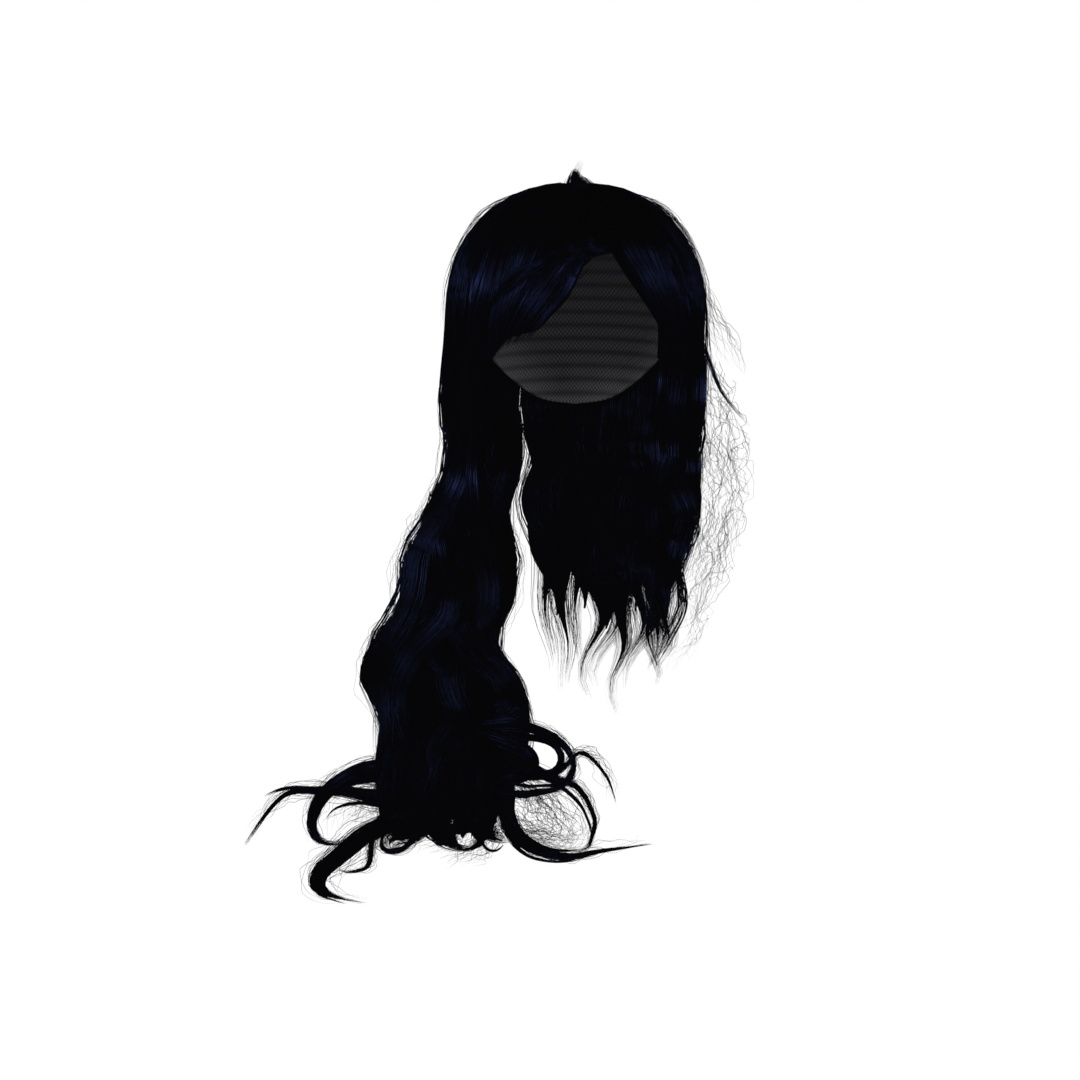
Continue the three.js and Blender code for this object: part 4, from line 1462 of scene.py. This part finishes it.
print("falls:", len(RIGHT_FALLS), "and locks at the foot:", len(FLOOR_LOCKS))

# %% Loose locks
LOOSE_THICK = 0.35
FLOOR_THICK = 0.5
EARLY_LOOSE = (-0.3, 0.5)
LOOSE_HAIR = {
    "Wisps": 9, "Strands": 7, "Wisp reach": 0.9, "Root reach": 0.5, "Tip reach": 0.45,
    "Wisp wave": 2.2 * MM, "Frizz": 0.7 * MM, "Bends": 3.0, "Radius": 0.38 * MM, "Shortest": 0.75, "Rim": 0.5,
}
FALL_HAIR = {**LOOSE_HAIR, "Wisps": 8, "Strands": 6, "Wisp wave": 3.0 * MM, "Shine": 1.0}

loose_paths = flat_locks(LOOSE_LOCKS, LOOSE_THICK, EARLY_LOOSE)
fall_paths = flat_locks(RIGHT_FALLS, LOOSE_THICK, EARLY_LOOSE)
floor_paths = flat_locks(FLOOR_LOCKS, FLOOR_THICK, EARLY_LOOSE)
add_hair("loose_locks", guides_on(loose_paths, 21), {**LOOSE_HAIR, "Seed": 55})
add_hair("right_falls", guides_on(fall_paths, 36), {**FALL_HAIR, "Seed": 57})
add_hair("floor_locks", guides_on(floor_paths, 16), {**LOOSE_HAIR, "Seed": 56})
add_cores("floor_cores", [lock_core(path, 0.0, 0.8, 0.8, 1.0, 0.9, 0.4) for path in floor_paths])

# %% [markdown]
# ## Tuft and loose wisp
# At the crown the ends of the wefts stand up in a short brush, with a few longer hairs. A thin wisp has
# come away on the right.

# %% Tuft and wisp
CROWN_TUFT = [  # x, y, z, half-width, half-thickness
    (1, 0, 2, 10, 8),
    (1, 0, 9, 11, 8),
    (0, 0, 13, 9, 6.5),
    (-1, 0, 18, 5.5, 4),
    (-1, 0, 24, 2.5, 2),
]
TUFT_WISP = [
    (-1, 0, 6, 5, 5),
    (-2, 0, 14, 4.5, 4),
    (-1, 0, 20, 4, 3),
    (2, -1, 26, 3, 2),
    (4, -1, 31, 2, 1),
]
FLYAWAY_LOCK = [
    (96, 6, -104, 2.5, 2),
    (106, 4, -127, 2, 1.6),
    (113, 3, -143, 2.4, 1.6),
    (123, 2, -156, 3, 1.4),
    (137, 1, -171, 3.5, 1.2),
]
TUFT_HAIR = {
    "Wisp reach": 0.85, "Root reach": 0.5, "Tip reach": 0.4, "Wisp wave": 1.0 * MM, "Frizz": 0.4 * MM,
    "Bends": 1.5, "Shortest": 0.5, "Rim": 0.5, "Shine": 0.3,
}
SMALL_PIECES = {  # name: rows, points, wisps, strands, radius, where it loosens, seed, solids
    "tuft_hair": (CROWN_TUFT, 9, 16, 14, 0.32, (0.0, 1.0), 61, ["crown_tuft"]),
    "tuft_wisps": (TUFT_WISP, 12, 6, 3, 0.12, (0.0, 1.0), 62, []),
    "loose_wisp": (FLYAWAY_LOCK, 16, 7, 5, 0.17, (0.0, 0.6), 63, ["flyaway_lock"]),
}
for name, (rows, points, wisps, strands, radius, loose, seed, nodes) in SMALL_PIECES.items():
    own = {"Wisps": wisps, "Strands": strands, "Radius": radius * MM, "Seed": seed}
    add_hair(name, guides_on([small_lock(rows, loose)], points), {**TUFT_HAIR, **own}, *nodes)

# %% [markdown]
# ## Wisps that lie over the hair
# Where the bangs turn, some shorter hair has worked loose and lies across them in small waves, with one
# little ring at the edge. They start under the surface, so that no blunt end shows. On both sides of the
# crown a veil of single hairs stands just off the surface.

# %% Wisps on the head
TURN_WISPS = {  # name: wisps, strands, radius, half-width, then azimuths and heights on the hair
    "upper_turn": (12, 9, 0.32, 6.0, [
        (19, -12), (18, -24), (11.5, -30), (6.7, -32), (0.6, -31), (-3.9, -36), (-10, -39), (-16, -46),
        (-24, -54), (-33, -66), (-40, -82),
    ]),
    "lower_turn": (10, 8, 0.3, 4.5, [
        (19.5, -16), (16, -28), (9, -32), (3, -34), (-2.5, -39), (-8.5, -44), (-13, -53), (-19, -61),
        (-25, -72),
    ]),
    "edge_turn": (8, 8, 0.26, 3.6, [
        (23, -18), (21, -29), (14, -35), (7, -37), (2, -41), (-3, -50), (-7, -60), (-11, -73),
    ]),
    "edge_ring": (4, 3, 0.2, 1.6, [
        (14, -33), (6.5, -38), (1, -40.5), (-1.5, -47), (0.5, -53.5), (3.5, -51), (5.5, -45), (6.5, -40),
    ]),
}
START_DEPTH = 4.0
WISP_THICK = 1.6
TURN_LIFT = 0.6
WISP_HAIR = {
    "Wisp reach": 0.9, "Root reach": 0.5, "Tip reach": 0.3, "Wisp wave": 2.4 * MM, "Frizz": 0.9 * MM,
    "Bends": 5.0, "Shortest": 0.55, "Rim": 0.5, "Shine": 0.1,
}


def surface_wisp(rows, half_width, lift, points):
    """A guide that comes out of the hair of the head and lies on it, through azimuths and heights."""
    azimuth, z = refined(rows, 6).T
    polar = polar_at(HAIR, z)
    _, normal = head_axes(HAIR, azimuth, polar)
    share = np.linspace(0, 1, len(azimuth))
    risen = ease(0.0, 0.35, share)[:, None]
    middle = on_head(HAIR, azimuth, polar) + (lift * risen - START_DEPTH * (1 - risen)) * normal
    across = np.cross(normal, unit(np.gradient(middle, axis=0))) * half_width
    loose = ease(-0.3, 0.4, share)
    return evenly((middle, across, normal * WISP_THICK, loose), points)


for seed, (name, (wisps, strands, radius, half_width, rows)) in enumerate(TURN_WISPS.items()):
    own = {"Wisps": wisps, "Strands": strands, "Radius": radius * MM, "Seed": 81 + seed}
    add_hair(name, [surface_wisp(rows, half_width, TURN_LIFT, 30)], {**WISP_HAIR, **own})

# %% Veil
VEIL_AZIMUTHS = (52, 64, 76, 88, 100, 112, 262, 280, 298)
VEIL_HEIGHTS = (10, 5, -8, -26, -48, -74, -104)
VEIL_LIFT = 2.4
VEIL_HALF = 10
VEIL_HAIR = {**WISP_HAIR, "Wisps": 6, "Strands": 2, "Radius": 0.14 * MM, "Seed": 91, "Wisp reach": 1.2}

veil_rows = [[(azimuth, z) for z in VEIL_HEIGHTS] for azimuth in VEIL_AZIMUTHS]
add_hair("crown_veil", [surface_wisp(rows, VEIL_HALF, VEIL_LIFT, 24) for rows in veil_rows], VEIL_HAIR)

# %% [markdown]
# ## Frizz
# A worn wig is never neat. Single fine hairs stand off the locks, most of all beside the right outline, and
# nets of crimped ones lie in the loops of the curls and at the foot of the tress. They are the same
# strands, thinner, far from their guides and much more bent.

# %% Table of the clouds
FRIZZ_POINTS = 44
CURL_FRIZZ_POINTS = 24
FRIZZ_STRETCHES = ((0.12, 0.6), (0.3, 0.8), (0.5, 1.0))  # shares of a lock where single hairs run
CRIMP_LENGTH = 10 * MM
CLOUD_LOOSE = (-0.5, 0.3)
CLOUDS = {  # rows of x, y, z, half-width, half-thickness of each cloud of hairs
    "upper_halo": [
        (90, -28, -60, 5, 5), (103, -22, -84, 8, 7), (115, -18, -106, 10, 8), (126, -14, -128, 8, 7),
    ],
    "side_halo": [
        (92, -24, -95, 6, 6), (104, -20, -135, 10, 9), (113, -16, -175, 14, 12), (116, -13, -215, 15, 13),
        (111, -9, -255, 14, 12), (102, -3, -295, 12, 10), (92, 3, -335, 10, 8), (80, 10, -372, 7, 6),
    ],
    "loop_net": [
        (-40, -118, -420, 10, 6), (-24, -126, -428, 18, 6), (-14, -140, -440, 22, 6),
        (-12, -156, -450, 20, 3), (-18, -172, -453, 14, 1),
    ],
    "cross_net": [
        (-48, -134, -440, 10, 4), (-30, -146, -447, 14, 5), (-10, -150, -449, 14, 5), (10, -146, -446, 8, 3),
    ],
    "floor_net": [(-74, -130, -446, 26, 6), (-88, -155, -451, 34, 4), (-104, -178, -453, 34, 1.5)],
    "ring_net": [
        (-128, -104, -420, 8, 6), (-146, -116, -432, 14, 6), (-162, -130, -444, 16, 5),
        (-168, -146, -452, 12, 2),
    ],
}
print("clouds:", list(CLOUDS))

# %% Single hairs
def stretches(paths, points):
    return [evenly(path, points, start, stop) for path in paths for start, stop in FRIZZ_STRETCHES]


def cloud(name):
    return small_lock(CLOUDS[name], CLOUD_LOOSE)


FRIZZ = {  # name: guides, hairs on each guide, reach, bend, crimp and radius in millimetres
    "tress_frizz": (stretches(left_locks[:2] + left_locks[8:], FRIZZ_POINTS), 10, 1.6, 6, 2.5, 0.15),
    "side_frizz": (stretches(back_locks[1:SIDE_LOCKS], FRIZZ_POINTS), 8, 2.0, 8, 3.0, 0.15),
    "back_frizz": (stretches(back_locks[SIDE_LOCKS::3], FRIZZ_POINTS), 6, 1.5, 5, 2.5, 0.14),
    "curl_frizz": (stretches(curl_paths, CURL_FRIZZ_POINTS), 14, 1.9, 9, 2.2, 0.18),
    "side_halo": (stretches([cloud("side_halo")], FRIZZ_POINTS), 24, 1.2, 15, 5.0, 0.15),
    "upper_halo": (guides_on([cloud("upper_halo")], FRIZZ_POINTS), 22, 1.2, 8, 2.0, 0.15),
    "loop_net": (guides_on([cloud("loop_net")], FRIZZ_POINTS), 56, 1.1, 12, 4.0, 0.18),
    "floor_net": (guides_on([cloud("floor_net")], FRIZZ_POINTS), 80, 1.1, 12, 3.0, 0.18),
    "ring_net": (guides_on([cloud("ring_net")], FRIZZ_POINTS), 36, 1.1, 12, 4.0, 0.17),
    "cross_net": (guides_on([cloud("cross_net")], FRIZZ_POINTS), 40, 1.1, 12, 4.0, 0.17),
}
SINGLE_HAIR = {
    "Strands": 1, "Root reach": 0.0, "Tip reach": 0.0, "Shortest": 0.5, "Rim": 0.3, "Shine": 0.3,
}
for seed, (name, (guides, hairs, far, bend, crimp, radius)) in enumerate(FRIZZ.items()):
    length = np.mean([measured(guide[0])[-1] for guide in guides])
    own = {
        "Wisps": hairs, "Wisp reach": far, "Wisp wave": bend * MM, "Frizz": crimp * MM,
        "Bends": length / CRIMP_LENGTH / 3, "Radius": radius * MM, "Seed": 71 + seed,
    }
    add_hair(name, guides, {**SINGLE_HAIR, **own})

# %% Print both boxes and finish
new_box = [list(corner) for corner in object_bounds()]
grow = [[round(1000 * abs(a - b), 1) for a, b in zip(*pair)] for pair in zip(cad_box, new_box)]
print("difference from the solids' box in mm:", grow)
meshes = [thing.data for thing in bpy.data.objects if thing.type == "MESH" and thing != floor]
print("triangles in all:", sum(triangles(mesh) for mesh in meshes))
print("visual box:", new_box)
